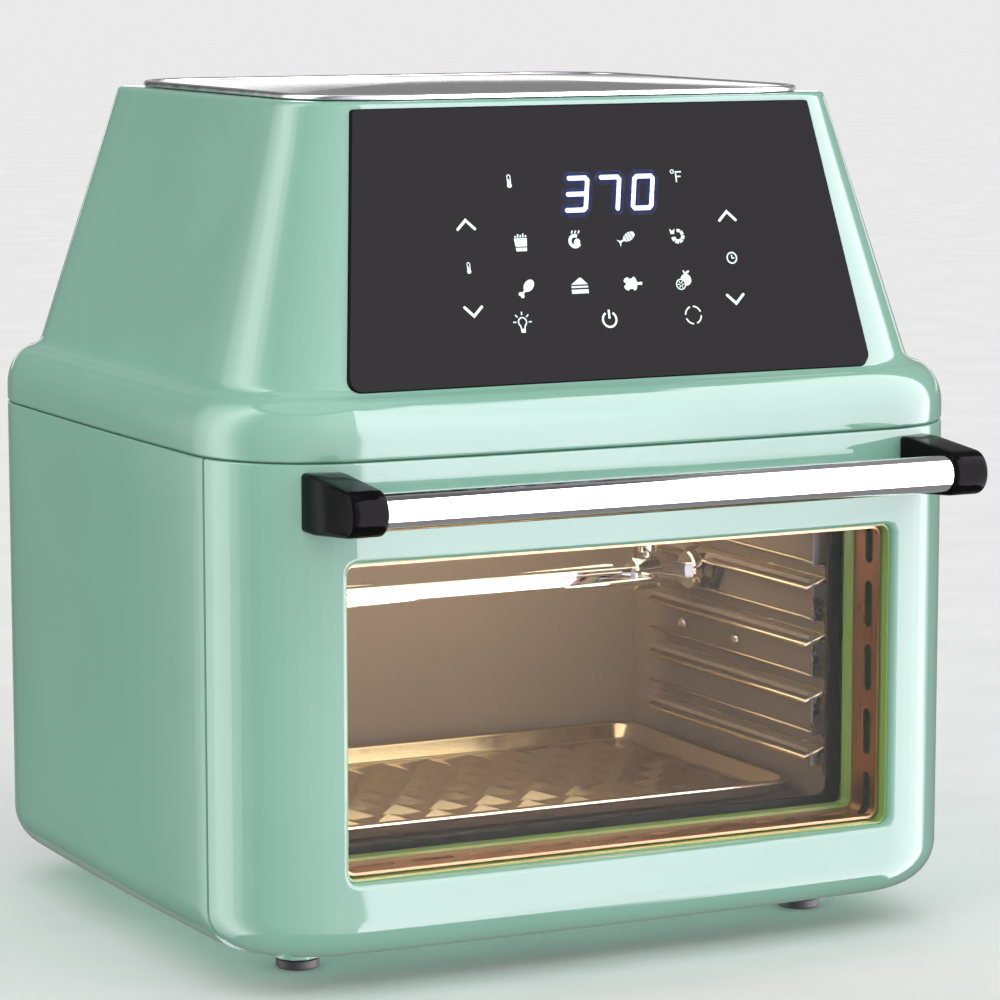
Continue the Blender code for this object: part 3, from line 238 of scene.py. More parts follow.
# ---------------------------------------------------------------- mesh tools
def loft(rings, close_start=False, close_end=False):
    """Skin over rings of equal length, each anticlockwise seen from the side the rings run to."""
    mesh = bpy.data.meshes.new("loft")
    shape = bmesh.new()
    rows = [[shape.verts.new(Vector(point) * MM) for point in ring] for ring in rings]
    count = len(rings[0])
    for lower, upper in zip(rows, rows[1:]):
        for i in range(count):
            j = (i + 1) % count
            shape.faces.new((lower[i], lower[j], upper[j], upper[i]))
    if close_start:
        shape.faces.new(reversed(rows[0]))
    if close_end:
        shape.faces.new(rows[-1])
    shape.to_mesh(mesh)
    shape.free()
    return mesh


def outline(width, depth, radius, bow_x=0.0, bow_y=0.0):
    """Rounded rectangle with slightly bowed sides, anticlockwise from its front left."""
    half_x = width / 2 - radius - bow_x
    half_y = depth / 2 - radius - bow_y
    sides = ((half_x, half_y, bow_y, bow_x), (half_y, half_x, bow_x, bow_y))
    points = []
    for quarter in range(4):
        half, distance, bow, next_bow = sides[quarter % 2]
        facing = (quarter - 1) * math.pi / 2
        normal = Vector((math.cos(facing), math.sin(facing)))
        along = Vector((-normal.y, normal.x))
        sweep = 2 * math.atan2(max(bow, 1e-4), half)
        next_sweep = 2 * math.atan2(max(next_bow, 1e-4), distance)
        curve = half / math.sin(sweep)
        steps = BOW_STEPS if bow else 1
        for step in range(steps + 1):
            angle = sweep * (2 * step / steps - 1)
            reach = distance + curve * (math.cos(angle) - math.cos(sweep))
            heading = facing + angle
            points.append(along * curve * math.sin(angle) + normal * reach
                          + Vector((math.cos(heading), math.sin(heading))) * radius)
        corner = along * half + normal * distance
        first = facing + sweep
        last = facing + math.pi / 2 - next_sweep
        for step in range(1, CORNER_STEPS):
            heading = first + (last - first) * step / CORNER_STEPS
            points.append(corner + Vector((math.cos(heading), math.sin(heading))) * radius)
    return points


def ring_at(points, height):
    return [(point.x, point.y, height) for point in points]


def body_ring(inset, height):
    width, depth, radius = BODY
    return ring_at(outline(width - 2 * inset, depth - 2 * inset, max(radius - inset, 4), *BODY_BOW), height)


def arc(centre, radius, first, last, steps):
    return [(centre[0] + radius * math.cos(math.radians(first + (last - first) * i / steps)),
             centre[1] + radius * math.sin(math.radians(first + (last - first) * i / steps)))
            for i in range(steps + 1)]


def rounded(low, high, radius, steps=6):
    """Rounded rectangle between two corners, anticlockwise."""
    (x0, y0), (x1, y1) = low, high
    return (arc((x1 - radius, y0 + radius), radius, -90, 0, steps)
            + arc((x1 - radius, y1 - radius), radius, 0, 90, steps)
            + arc((x0 + radius, y1 - radius), radius, 90, 180, steps)
            + arc((x0 + radius, y0 + radius), radius, 180, 270, steps))


def front_rings(loops_and_depths):
    """Rings for loops drawn as (x, z), running towards the viewer; each depth is y or a function of x."""
    rings = []
    for loop, depth in loops_and_depths:
        rings.append([(x, depth(x) if callable(depth) else depth, z) for x, z in loop])
    return rings


def shift(mesh, x, y, z):
    mesh.transform(Matrix.Translation(Vector((x, y, z)) * MM))


def link(obj):
    bpy.context.scene.collection.objects.link(obj)


def make(name, mesh, look, body, centre=(0, 0, 0), smooth=32):
    """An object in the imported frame, riding on a CAD body; smooth is its sharp angle, 0 for flat faces."""
    shift(mesh, centre[0], centre[1] + OVEN_Y, centre[2])
    mesh.name = name
    obj = bpy.data.objects.new(name, mesh)
    link(obj)
    mesh.materials.append(LOOKS[look])
    if smooth:
        mesh.shade_smooth()
        mesh.set_sharp_from_angle(angle=math.radians(smooth))
    else:
        mesh.shade_flat()
    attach(obj, body)
    return obj


def box_mesh(low, high):
    ring = [(low[0], low[1]), (high[0], low[1]), (high[0], high[1]), (low[0], high[1])]
    return loft([[(x, y, z) for x, y in ring] for z in (low[2], high[2])], True, True)


def cutter_from(mesh):
    obj = bpy.data.objects.new("cutter", mesh)
    shift(mesh, 0, OVEN_Y, 0)
    link(obj)
    return obj


def settle(obj):
    """Applies an object's modifiers."""
    bpy.context.view_layer.update()
    evaluated = obj.evaluated_get(bpy.context.evaluated_depsgraph_get())
    old = obj.data
    obj.data = bpy.data.meshes.new_from_object(evaluated)
    obj.modifiers.clear()
    bpy.data.meshes.remove(old)


def subtract(obj, meshes, solver="EXACT"):
    for mesh in meshes:
        cutter = cutter_from(mesh)
        modifier = obj.modifiers.new("cut", "BOOLEAN")
        modifier.operation = "DIFFERENCE"
        modifier.solver = solver
        modifier.object = cutter
        settle(obj)
        bpy.data.objects.remove(cutter)


def thicken(obj, thickness):
    modifier = obj.modifiers.new("wall", "SOLIDIFY")
    modifier.thickness = thickness * MM
    modifier.offset = -1
    settle(obj)


NORMAL_AGREEMENT = 0.93            # cosine; below it a face is a cut or the inner wall
SURFACE_GAP = 0.02 * MM            # a face further than this from the uncut surface isn't part of it


def keep_normals(obj, source):
    """Gives a cut shape the smooth normals of the uncut surface it came from."""
    tree = BVHTree.FromPolygons([v.co[:] for v in source.vertices], [p.vertices[:] for p in source.polygons])
    corner_normals = [n.vector.copy() for n in source.corner_normals]
    mesh = obj.data
    normals = [None] * len(mesh.loops)
    for polygon in mesh.polygons:
        for index in polygon.loop_indices:
            point = mesh.vertices[mesh.loops[index].vertex_index].co
            inside = point.lerp(polygon.center, 0.2)
            place, _, face, distance = tree.find_nearest(inside)
            normal = polygon.normal
            if distance < SURFACE_GAP:
                weights = Vector((0, 0, 0))
                host = source.polygons[face]
                for loop_index, vertex in zip(host.loop_indices, host.vertices):
                    gap = (source.vertices[vertex].co - place).length + 1e-6
                    weights += corner_normals[loop_index] / gap ** 2
                found = weights.normalized()
                if found.dot(polygon.normal) > NORMAL_AGREEMENT:
                    normal = found
            normals[index] = normal
    mesh.shade_smooth()
    mesh.normals_split_custom_set(normals)


def turned_mesh(profile, steps=40, axis="Z"):
    """A turned solid from (radius, height) points that start and end on the axis."""
    rings = []
    for radius, height in profile:
        rings.append([(max(radius, 0.01) * math.cos(2 * math.pi * i / steps),
                       max(radius, 0.01) * math.sin(2 * math.pi * i / steps), height)
                      for i in range(steps)])
    mesh = loft(rings, True, True)
    turns = {"X": Matrix.Rotation(math.pi / 2, 4, "Y"), "-X": Matrix.Rotation(-math.pi / 2, 4, "Y"),
             "Y": Matrix.Rotation(-math.pi / 2, 4, "X"), "Z": Matrix.Identity(4)}
    mesh.transform(turns[axis])
    return mesh


def bevelled(obj, width, segments=3, angle=30):
    modifier = obj.modifiers.new("edge", "BEVEL")
    modifier.width = width * MM
    modifier.segments = segments
    modifier.limit_method = "ANGLE"
    modifier.angle_limit = math.radians(angle)
    settle(obj)
    obj.data.shade_smooth()
    obj.data.set_sharp_from_angle(angle=math.radians(40))


def join_meshes(meshes):
    """One mesh out of several."""
    shape = bmesh.new()
    for mesh in meshes:
        shape.from_mesh(mesh)
        bpy.data.meshes.remove(mesh)
    joined = bpy.data.meshes.new("joined")
    shape.to_mesh(joined)
    shape.free()
    return joined


def face_depth(x):
    """Depth of the door's bowed face at x, within its straight part and its corners."""
    for start, end in zip(FACE_POINTS, FACE_POINTS[1:]):
        if start.x <= x <= end.x:
            return start.y + (end.y - start.y) * (x - start.x) / (end.x - start.x)
    return -BODY[1] / 2 + BODY[2]


def sorted_front():
    width, depth, radius = BODY
    points = [p for p in outline(width, depth, radius, *BODY_BOW) if p.y < -depth / 2 + radius]
    return sorted(points, key=lambda p: p.x)


FACE_POINTS = sorted_front()


# ---------------------------------------------------------------- hood
def tower_ring(share):
    width, depth, radius, height = (a + (b - a) * share for a, b in zip(TOWER_BASE, TOWER_TOP))
    return (width, depth, radius, TOWER_BOW, TOWER_BOW, height)


def shoulder_ring(angle):
    inward, upward = 1 - math.cos(angle), math.sin(angle)
    start = (*BODY, *BODY_BOW, SHOULDER_BASE)
    end = tower_ring(0)
    return tuple(a + (b - a) * inward for a, b in zip(start[:5], end[:5])) + (
        start[5] + (end[5] - start[5]) * upward,)


def crease_rings():
    """Small hollow fillet where the tower rises from the shoulder."""
    low, corner, high = shoulder_ring(math.radians(70)), tower_ring(0), tower_ring(0.035)
    rings = []
    for step in range(1, 8):
        t = step / 8
        rings.append(tuple(a * (1 - t) ** 2 + 2 * b * t * (1 - t) + c * t * t
                           for a, b, c in zip(low, corner, high)))
    return rings


def hood_rings():
    specs = [(*BODY, *BODY_BOW, SHOULDER_BASE)]
    specs += [shoulder_ring(math.radians(70 * step / 14)) for step in range(1, 15)]
    specs += crease_rings()
    specs += [tower_ring(0.035 + 0.965 * step / 8) for step in range(9)]
    width, depth, radius, _, _, top = tower_ring(1)
    for step in range(1, 8):
        angle = math.radians(90 * step / 7)
        inset = TOWER_EDGE * (1 - math.cos(angle))
        specs.append((width - 2 * inset, depth - 2 * inset, radius - inset, TOWER_BOW, TOWER_BOW,
                      top + TOWER_EDGE * math.sin(angle)))
    lip = 18
    specs.append((width - 2 * lip, depth - 2 * lip, radius - lip / 2, TOWER_BOW, TOWER_BOW, top + TOWER_EDGE))
    rings = []
    for step in range(5):
        angle = math.radians(90 * step / 4)
        rings.append(body_ring(1.0 * (1 - math.sin(angle)), SEAM_HIGH + 1.0 * (1 - math.cos(angle))))
    for width, depth, radius, bow_x, bow_y, height in specs:
        rings.append(ring_at(outline(width, depth, radius, bow_x, bow_y), height))
    return rings


PANEL_TOP = Vector((0, -TOWER_TOP[1] / 2, TOWER_TOP[3] - 0.2))
PANEL_FOOT = Vector((0, -TOWER_BASE[1] / 2, TOWER_BASE[3] + 0.8))
PANEL_UP = (PANEL_TOP - PANEL_FOOT).normalized()
PANEL_OUT = Vector((0, -PANEL_UP.z, PANEL_UP.y))
PANEL_LENGTH = (PANEL_TOP - PANEL_FOOT).length
PANEL_HALF = (131.8, 116)          # at the foot and at the top
PANEL_PROUD = 0.7


def panel_point(across, down, lift):
    """A point on the panel: across, down the slope from its top edge, and out from the hood's plane."""
    return PANEL_TOP + Vector((across, 0, 0)) - PANEL_UP * down + PANEL_OUT * lift


def panel_loop(grow):
    """The panel's outline as (across, down the slope), anticlockwise seen from the front."""
    foot, top = PANEL_HALF[0] + grow, PANEL_HALF[1] + grow
    corner, small = 6, 1.6
    loop = arc((foot - corner, corner - grow), corner, -90, 0, 8)
    loop += arc((top - small, PANEL_LENGTH + grow - small), small, 0, 90, 4)
    loop += arc((-top + small, PANEL_LENGTH + grow - small), small, 90, 180, 4)
    loop += arc((-foot + corner, corner - grow), corner, 180, 270, 8)
    return [(across, PANEL_LENGTH - up) for across, up in loop]


def panel_rings(levels):
    return [[tuple(panel_point(across, down, lift)) for across, down in panel_loop(grow)]
            for grow, lift in levels]


def make_hood():
    rings = hood_rings()
    source = smooth_source(rings)
    hood = make("hood", loft(rings), "mint", BODY_PART)
    thicken(hood, SKIN)
    panel = loft(panel_rings([(0.3, -8), (0.3, 8)]), True, True)
    grille = loft([[(x, -y, z) for x, y, z in reversed(ring)] for ring in grille_rings()], True, True)
    subtract(hood, [panel, grille])
    keep_normals(hood, source)
    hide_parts("top_hood")


def grille_rings():
    """The opening for the exhaust grille, drawn on the front slope; the caller mirrors it to the back."""
    loop = rounded((-75.3, 34.7), (75.3, 85.3), 6, 4)
    return [[tuple(panel_point(x, PANEL_LENGTH - up, lift)) for x, up in loop] for lift in (-8, 8)]


def make_panel():
    panel = make("control_panel", loft(panel_rings([(0, -2.2), (0, 0.35), (-0.35, PANEL_PROUD)]), True, True),
                 "panel", BODY_PART, smooth=25)
    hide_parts("control_panel_glass")


def make_cover():
    width, depth, radius = 260, 234, 40
    base = TOWER_TOP[3] + TOWER_EDGE + 0.3
    rings = []
    for inset, rise in ((0.6, 0), (0.1, 0.4), (0, 1.0), (0.15, 1.7), (0.6, 2.3), (1.3, 2.6), (3.2, 2.65),
                        (4.2, 2.5), (4.8, 2.1)):
        rings.append(ring_at(outline(width - 2 * inset, depth - 2 * inset, radius - inset), base + rise))
    rings.append(ring_at(outline(width - 10, depth - 10, radius - 5), base + 1.2))
    rim = make("cover_rim", loft(rings, True, True), "rim", BODY_PART, smooth=40)
    inner = outline(width - 9.8, depth - 9.8, radius - 4.9)
    rings = [ring_at(inner, base + 1.3)]
    steps = 14
    for step in range(steps):
        share = 1 - step / steps
        rings.append([(p.x * share, p.y * share,
                       base + 1.5 + 3.3 * (1 - (p.x * share / 150) ** 2) * (1 - (p.y * share / 125) ** 2))
                      for p in inner])
    plate = make("cover_plate", loft(rings, True, True), "plate", BODY_PART, smooth=40)
    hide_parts("top_cover")
    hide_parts("top_cover")


# ---------------------------------------------------------------- lower body and door
def lower_rings(bottom_inset, top):
    """Underside, rounded lower edge, wall and a softened upper lip."""
    rings = [body_ring(bottom_inset, BODY_BOTTOM)]
    for step in range(15):
        angle = math.pi / 2 * step / 14
        rings.append(body_ring(BOTTOM_FILLET * (1 - math.sin(angle)),
                               BODY_BOTTOM + BOTTOM_FILLET * (1 - math.cos(angle))))
    for height in (60, 100, 140, 180, 215):
        rings.append(body_ring(0, height))
    for step in range(5):
        angle = math.pi / 2 * step / 4
        rings.append(body_ring(1 - math.cos(angle), top - 1 + math.sin(angle)))
    return rings


def smooth_source(rings):
    """The uncut surface, whose normals the cut shape takes."""
    source = loft(rings)
    shift(source, 0, OVEN_Y, 0)
    source.shade_smooth()
    source.set_sharp_from_angle(angle=math.radians(50))
    return source


def make_body_shell():
    rings = lower_rings(30, SEAM_LOW)
    source = smooth_source(rings)
    shell = make("body_wrap", loft(rings), "mint", BODY_PART)
    thicken(shell, SKIN)
    far = 260
    opening = front_rings([(rounded((-120, 70), (120, 205), 8, 6), depth) for depth in (190, 140)])
    gland = turned_mesh([(0, -10), (6.3, -10), (6.3, 30), (0, 30)], 24, "Y")
    shift(gland, -145, 160, 60)
    front = box_mesh((-far, -far, -far), (far, BODY_FRONT, 2 * far))
    subtract(shell, [front, loft(opening, True, True), gland])
    keep_normals(shell, source)
    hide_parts("body_shell")
    make_seam()


def make_seam():
    """A dark ring just inside the seam under the hood: painted shade in place of the gap's depth."""
    rings = [body_ring(inset, height) for inset, height in ((0.9, 239.3), (0.9, 240.5), (2.7, 240.5),
                                                            (2.7, 239.3), (0.9, 239.3))]
    make("seam_shadow", loft(rings), "seam", BODY_PART, smooth=40)


def heel_mesh():
    """Everything behind the door, with its lower rear corner rounded about the hinge."""
    far = 260
    loop = [(HINGE[0], 0)] + arc(HINGE, DOOR_HEEL, -90, 0, 14)
    loop += [(DOOR_REAR, far * 2), (far, far * 2), (far, 0)]
    return loft([[(x, y, z) for y, z in reversed(loop)] for x in (-far, far)], True, True)


def window_loop(inset):
    """The window's outline, with enough points along its level edges to follow the bowed face."""
    half, low, high, radius = WINDOW
    loop = rounded((-half + inset, low + inset), (half - inset, high - inset), max(radius - inset, 0.5), 8)
    points = []
    for (x0, z0), (x1, z1) in zip(loop, loop[1:] + loop[:1]):
        pieces = 24 if abs(x1 - x0) > 100 else 1
        points += [(x0 + (x1 - x0) * i / pieces, z0 + (z1 - z0) * i / pieces) for i in range(pieces)]
    return points


def window_mesh():
    """Opens the door's face with a rolled edge down to the glass."""
    levels = [(-4.5, lambda x: face_depth(x) - 6)]
    for step in range(7):
        angle = math.pi / 2 * step / 6
        inset = WINDOW_EDGE * math.sin(angle)
        drop = WINDOW_EDGE * (1 - math.cos(angle))
        levels.append((inset, lambda x, drop=drop: face_depth(x) + drop - 0.02))
    levels.append((WINDOW_EDGE, -140))
    return loft(front_rings([(window_loop(inset), depth) for inset, depth in reversed(levels)]), True, True)


def make_door_shell():
    rings = lower_rings(26, SEAM_LOW) + [body_ring(46, SEAM_LOW)]
    source = smooth_source(rings)
    shell = make("door_skin", loft(rings), "mint", DOOR_PART)
    thicken(shell, SKIN)
    cuts = [heel_mesh(), window_mesh()]
    for sign in (-1, 1):
        low, high = sorted((sign * 155, sign * 162))
        cuts.append(box_mesh((low, -148, 0), (high, -110, 28)))
    subtract(shell, cuts, "MANIFOLD")
    keep_normals(shell, source)
    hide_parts("door_shell")


def make_window_collar():
    """Mint return between the window's rolled edge and the outer pane."""
    outer, inner = window_loop(WINDOW_EDGE - 1.2), window_loop(WINDOW_EDGE)

    def behind(x):
        return face_depth(x) + 2.9

    rings = front_rings([(outer, -161.4), (outer, behind), (inner, behind), (inner, -161.4), (outer, -161.4)])
    make("window_collar", loft(rings), "mint", DOOR_PART, smooth=40)


def pane(name, loop, y, thickness, node):
    glass = make(name, loft(front_rings([(loop, y + thickness / 2), (loop, y - thickness / 2)]), True, True),
                 "glass", DOOR_PART, smooth=25)
    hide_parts(node)


def edge_band(name, half, low, high, radius, near, far, width):
    """The green polished edge of a pane, seen round the window."""
    outer = rounded((-half, low), (half, high), radius, 6)
    inner = rounded((-half + width, low + width), (half - width, high - width), radius - width, 6)
    rings = front_rings([(outer, far), (outer, near), (inner, near), (inner, far), (outer, far)])
    make(name, loft(rings), "glass_edge", DOOR_PART, smooth=40)


def sleeve_slots():
    """Cutters for the slots in the four walls of the sleeve."""
    cutters = []
    for z in (64.3, 94.6, 125, 155.2, 185.5):
        for sign in (-1, 1):
            loop = rounded((-152, z - 11), (-145.6, z + 11), 3.1, 5)
            low, high = sorted((sign * 130, sign * 140))
            cutters.append(loft([[(x, y, zz) for y, zz in loop] for x in (low, high)], True, True))
    for column in range(9):
        x = -118.4 + 29.6 * column
        loop = rounded((x - 10.7, -147.6), (x + 10.7, -143.6), 1.9, 5)
        for low, high in ((50, 60), (188, 198)):
            cutters.append(loft([[(px, py, z) for px, py in loop] for z in (low, high)], True, True))
    return join_meshes(cutters)


def make_sleeve():
    near, far = -156.8, -131.4
    outer = rounded((-137.2, 54.8), (137.2, 193.3), 5.2, 8)
    inner = rounded((-136, 56), (136, 192.1), 4, 8)
    rings = front_rings([(outer, far), (outer, near), (inner, near), (inner, far), (outer, far)])
    sleeve = make("door_sleeve", loft(rings), "sleeve", DOOR_PART)
    merge(sleeve)
    subtract(sleeve, [sleeve_slots()])
    sleeve.data.shade_smooth()
    sleeve.data.set_sharp_from_angle(angle=math.radians(25))
    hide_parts("door_inner_frame")
    outer = rounded((-139.6, 52.4), (139.6, 195.7), 6, 6)
    inner = rounded((-138.6, 53.4), (138.6, 194.7), 5, 6)
    rings = front_rings([(outer, -142), (outer, -153), (inner, -153), (inner, -142), (outer, -142)])
    make("sleeve_backing", loft(rings), "backing", DOOR_PART, smooth=40)


def merge(obj):
    """Welds the ends of a lofted ring, so that it is closed for the Boolean."""
    shape = bmesh.new()
    shape.from_mesh(obj.data)
    bmesh.ops.remove_doubles(shape, verts=shape.verts, dist=1e-6)
    shape.to_mesh(obj.data)
    shape.free()


def make_door_glass():
    pane("outer_pane", rounded((-144.2, 45.7), (144.2, 202.3), 9, 6), -159.5, 4, "door_outer_glass")
    pane("inner_pane", rounded((-141, 50.5), (141, 197.5), 6, 6), -128.8, 4, "door_inner_glass")
    edge_band("outer_pane_edge", 138.7, 53.2, 194.9, 5, -162.4, -153.2, 0.9)
    edge_band("inner_pane_edge", 135.9, 56.1, 192.0, 4, -135.4, -128.8, 1.4)


# ---------------------------------------------------------------- handle and feet
def make_bracket(side, sign):
    inner, outer, height = BRACKET
    low, high = HANDLE_Z - height / 2, HANDLE_Z + height / 2
    tip, nose = -214.2, 10.2
    loop = arc((tip + nose, HANDLE_Z), nose, 97, 263, 24)
    across = [inner, inner + 5.8, inner + 11.6, outer]
    rings = []
    for x in (across if sign > 0 else reversed(across)):
        rear = face_depth(x) + 0.6
        points = [(rear, high), (-172, high)] + loop + [(-172, low), (rear, low)]
        rings.append([(sign * x, y, z) for y, z in points])
    bracket = make("grip_bracket_" + side, loft(rings, True, True), "black", DOOR_PART)
    bevelled(bracket, 1.9, 4, 35)
    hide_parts("handle_bracket_" + side)


def make_handle():
    for side, sign in (("left", -1), ("right", 1)):
        make_bracket(side, sign)
    end = BRACKET[0] + 10
    profile = [(0, -end), (TUBE_RADIUS, -end), (TUBE_RADIUS, end), (0, end)]
    tube = make("handle_bar", turned_mesh(profile, 96, "X"), "chrome", DOOR_PART,
                (0, TUBE_Y, HANDLE_Z), smooth=40)
    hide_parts("handle_tube")


def make_foot(name, x, y):
    rubber = [(0, 0), (8.4, 0), (9.3, 0.3), (9.9, 1.1), (9.9, 4.3), (9.5, 4.8), (9.0, 5.0), (0, 5.0)]
    foot = make("pad_" + name, turned_mesh(rubber, 40), "rubber", BODY_PART, (x, y, 0), smooth=30)
    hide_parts("foot_" + name)
    boss = [(0, 5.3), (10.6, 5.3), (11.1, 5.8), (12.2, 17.5), (0, 17.5)]
    make("boss_" + name, turned_mesh(boss, 40), "mint", BODY_PART, (x, y, 0), smooth=30)


def make_feet():
    for name, x, y in (("front_left", -132.4, -94.6), ("front_right", 132.4, -94.6),
                       ("back_left", -132.4, 112), ("back_right", 132.4, 112)):
        make_foot(name, x, y)


# ---------------------------------------------------------------- inside the cavity
def make_tray():
    """Rimmed tray whose floor is pressed into staggered pyramids."""
    width, front, back = 262, -101, 72
    middle = (front + back) / 2
    rings = []
    for inset, height in ((0, 61.6), (-0.3, 62.6), (0, 63.2), (0.8, 63.5), (4, 63.5), (5, 63.2), (5.6, 62.4),
                          (8.4, 56.6), (9.2, 55.9), (10.4, 55.7)):
        loop = outline(width - 2 * inset, back - front - 2 * inset, 14 - inset * 0.6)
        rings.append([(p.x, p.y + middle, height) for p in loop])
    rim = make("tray_rim", loft(rings), "tray", BODY_PART, smooth=40)
    thicken(rim, 0.6)
    floor = make("tray_floor", pressed_floor(width / 2 - 10.2, front + 10.2, back - 10.2), "tray", BODY_PART,
                 smooth=0)
    thicken(floor, 0.6)
    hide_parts("drip_tray")
    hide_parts("drip_tray")


def pressed_floor(half, front, back):
    """The tray's floor: a grid whose staggered inner points stand up as small pyramids."""
    pitch_x, pitch_y, rise = 24, 17, 3.4
    mesh = bpy.data.meshes.new("pressed")
    shape = bmesh.new()
    columns = int(2 * half / (pitch_x / 2))
    rows = int((back - front) / (pitch_y / 2))
    grid = []
    for row in range(rows + 1):
        line = []
        for column in range(columns + 1):
            edge = row in (0, rows) or column in (0, columns)
            peak = (row % 2 == 1) and ((column + (row // 2) % 2) % 2 == 1)
            level = 55.7 + (rise if peak and not edge else 0)
            line.append(shape.verts.new(Vector((-half + 2 * half * column / columns,
                                                front + (back - front) * row / rows, level)) * MM))
        grid.append(line)
    for row in range(rows):
        for column in range(columns):
            corners = (grid[row][column], grid[row][column + 1], grid[row + 1][column + 1],
                       grid[row + 1][column])
            heights = [corner.co.z for corner in corners]
            start = heights.index(max(heights))
            a, b, c, d = (corners[(start + i) % 4] for i in range(4))
            shape.faces.new((a, b, c))
            shape.faces.new((a, c, d))
    shape.to_mesh(mesh)
    shape.free()
    return mesh


WALL, LEDGE_REACH = 134.6, 125.8
LEDGE_FRONT, LEDGE_BACK, LEDGE_NOSE = -112.6, 45.6, 2.5


def ledge_path(sign, wall_z, lip_z):
    """Corners of a sloping ledge, from its front at the wall round its lip to its back at the wall."""
    return [(sign * WALL, LEDGE_FRONT, wall_z), (sign * LEDGE_REACH, LEDGE_FRONT + LEDGE_NOSE, lip_z),
            (sign * LEDGE_REACH, LEDGE_BACK - LEDGE_NOSE, lip_z), (sign * WALL, LEDGE_BACK, wall_z)]


def ledge_sheet(sign, wall_z, lip_z):
    ring = ledge_path(sign, wall_z, lip_z)
    if sign > 0:
        ring.reverse()
    return loft([[(x, y, z + dz) for x, y, z in ring] for dz in (-0.5, 0)], True, True)


def rack_ledge(side, sign, level, z):
    """A lanced rail: a bright ledge sloping down from the wall, and a guide above the one below."""
    tag = "%s_%d" % (side, level)
    make("rack_shelf_" + tag, ledge_sheet(sign, z + 1, z - 3.6), "liner", BODY_PART, smooth=25)
    path = ledge_path(sign, z + 1, z - 3.6)
    lips = [wire(path, [0.95] * 4, 10),
            wire([(sign * (WALL - 0.3), y, z + 1.2) for y in (LEDGE_FRONT, LEDGE_BACK)], [0.65] * 2, 8)]
    make("rack_lip_" + tag, join_meshes(lips), "rack", BODY_PART, smooth=60)
    if level:
        make("rack_guide_" + tag, ledge_sheet(sign, z - 20.6, z - 17.4), "liner", BODY_PART, smooth=25)
        edge = wire(ledge_path(sign, z - 20.6, z - 17.4), [0.6] * 4, 8)
        make("rack_edge_" + tag, edge, "tray", BODY_PART, smooth=60)
    low, high = sorted((sign * 127.2, sign * 134.2))
    drop = 18.0 if level else 5.5
    gap = box_mesh((low, -113.4, z - 1.5 - drop), (high, -112.9, z - 1.5))
    make("front_glint_" + tag, gap, "glint", BODY_PART, smooth=20)


def make_racks():
    for side, sign in (("left", -1), ("right", 1)):
        for level in range(5):
            rack_ledge(side, sign, level, 79.6 + 27.2 * level)


def make_spit():
    y, z = SPIT
    profile = [(0, 0), (8.6, 0), (9.5, 0.9), (9.5, 4.6), (8.4, 6), (8, 6.6), (8, 15), (7.2, 16), (3.5, 16.2),
               (3.5, 26), (0, 26)]
    socket = make("spit_socket", turned_mesh(profile, 48, "X"), "chrome", SPIT_PART, (120, y, z), smooth=30)
    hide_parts("spit_drive_socket")
    loop = rounded((y - 4, z - 4), (y + 4, z + 4), 1, 4)
    shaft = make("spit_rod", loft([[(x, py, pz) for py, pz in loop] for x in (-133.4, 126)], True, True),
                 "chrome", SPIT_PART, smooth=30)
    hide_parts("spit_shaft")
    for side, sign in (("left", -1), ("right", 1)):
        make_fork(side, sign)


def make_fork(side, sign):
    y, z = SPIT
    hub_x = sign * 96
    hub = [(4.6, -6.2), (7.7, -7), (8.5, -6.2), (8.5, 6.2), (7.7, 7), (4.6, 7), (4.6, -6.2)]
    parts = [turned_mesh(hub[:-1], 40, "X")]
    shift(parts[0], hub_x, y, z)
    bar_x = hub_x - sign * 4
    reach = 24
    bend = 5
    path = [(bar_x - sign * 52, y - reach)]
    path += [(bar_x - sign * (bend - bend * math.sin(a)), y - reach + bend - bend * math.cos(a))
             for a in [math.pi / 2 * i / 6 for i in range(7)]]
    left = [(x, py, z) for x, py in path]
    full = left + [(x, 2 * y - py, pz) for x, py, pz in reversed(left)]
    parts.append(wire(full, [0.5] + [2.0] * (len(full) - 2) + [0.5]))
    fork = make("roast_fork_" + side, join_meshes(parts), "chrome", SPIT_PART, smooth=40)
    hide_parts("spit_fork_" + side)
    knob = [(0, 4.4), (2, 4.4), (2, 10), (4.6, 10.6), (5, 11.4), (5, 19.6), (4.4, 20.8), (3.4, 21), (0, 21)]
    screw = make("thumb_screw_" + side, turned_mesh(knob, 24), "chrome", SPIT_PART,
                 (hub_x + sign * 2.5, y, z), smooth=30)
    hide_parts("fork_screw_" + side)


def wire(points, radii, steps=12):
    """A round wire along points, with a radius at each."""
    points = [Vector(point) for point in points]
    rings = []
    up = Vector((0, 0, 1))
    for i, point in enumerate(points):
        ahead = points[min(i + 1, len(points) - 1)] - points[max(i - 1, 0)]
        ahead.normalize()
        side = ahead.cross(up).normalized()
        rise = side.cross(ahead)
        rings.append([tuple(point + (side * math.cos(a) + rise * math.sin(a)) * radii[i])
                      for a in [2 * math.pi * k / steps for k in range(steps)]])
    return loft(rings, True, True)


def make_inside_screws():
    for name, y in (("front", SPIT[0] - 26.4), ("back", SPIT[0] + 26.4)):
        head = [(0, 0), (3.6, 0), (3.6, 0.9), (3.0, 1.7), (2.0, 2.2), (0, 2.4)]
        screw = make("panhead_" + name, turned_mesh(head, 32, "-X"), "chrome", BODY_PART,
                     (134.2, y, SPIT[1] - 32.5), smooth=35)
        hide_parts("motor_screw_" + name)


# ---------------------------------------------------------------- signs on the panel
ICON_LIFT = PANEL_PROUD + 0.02
ICON_THICK = 0.12


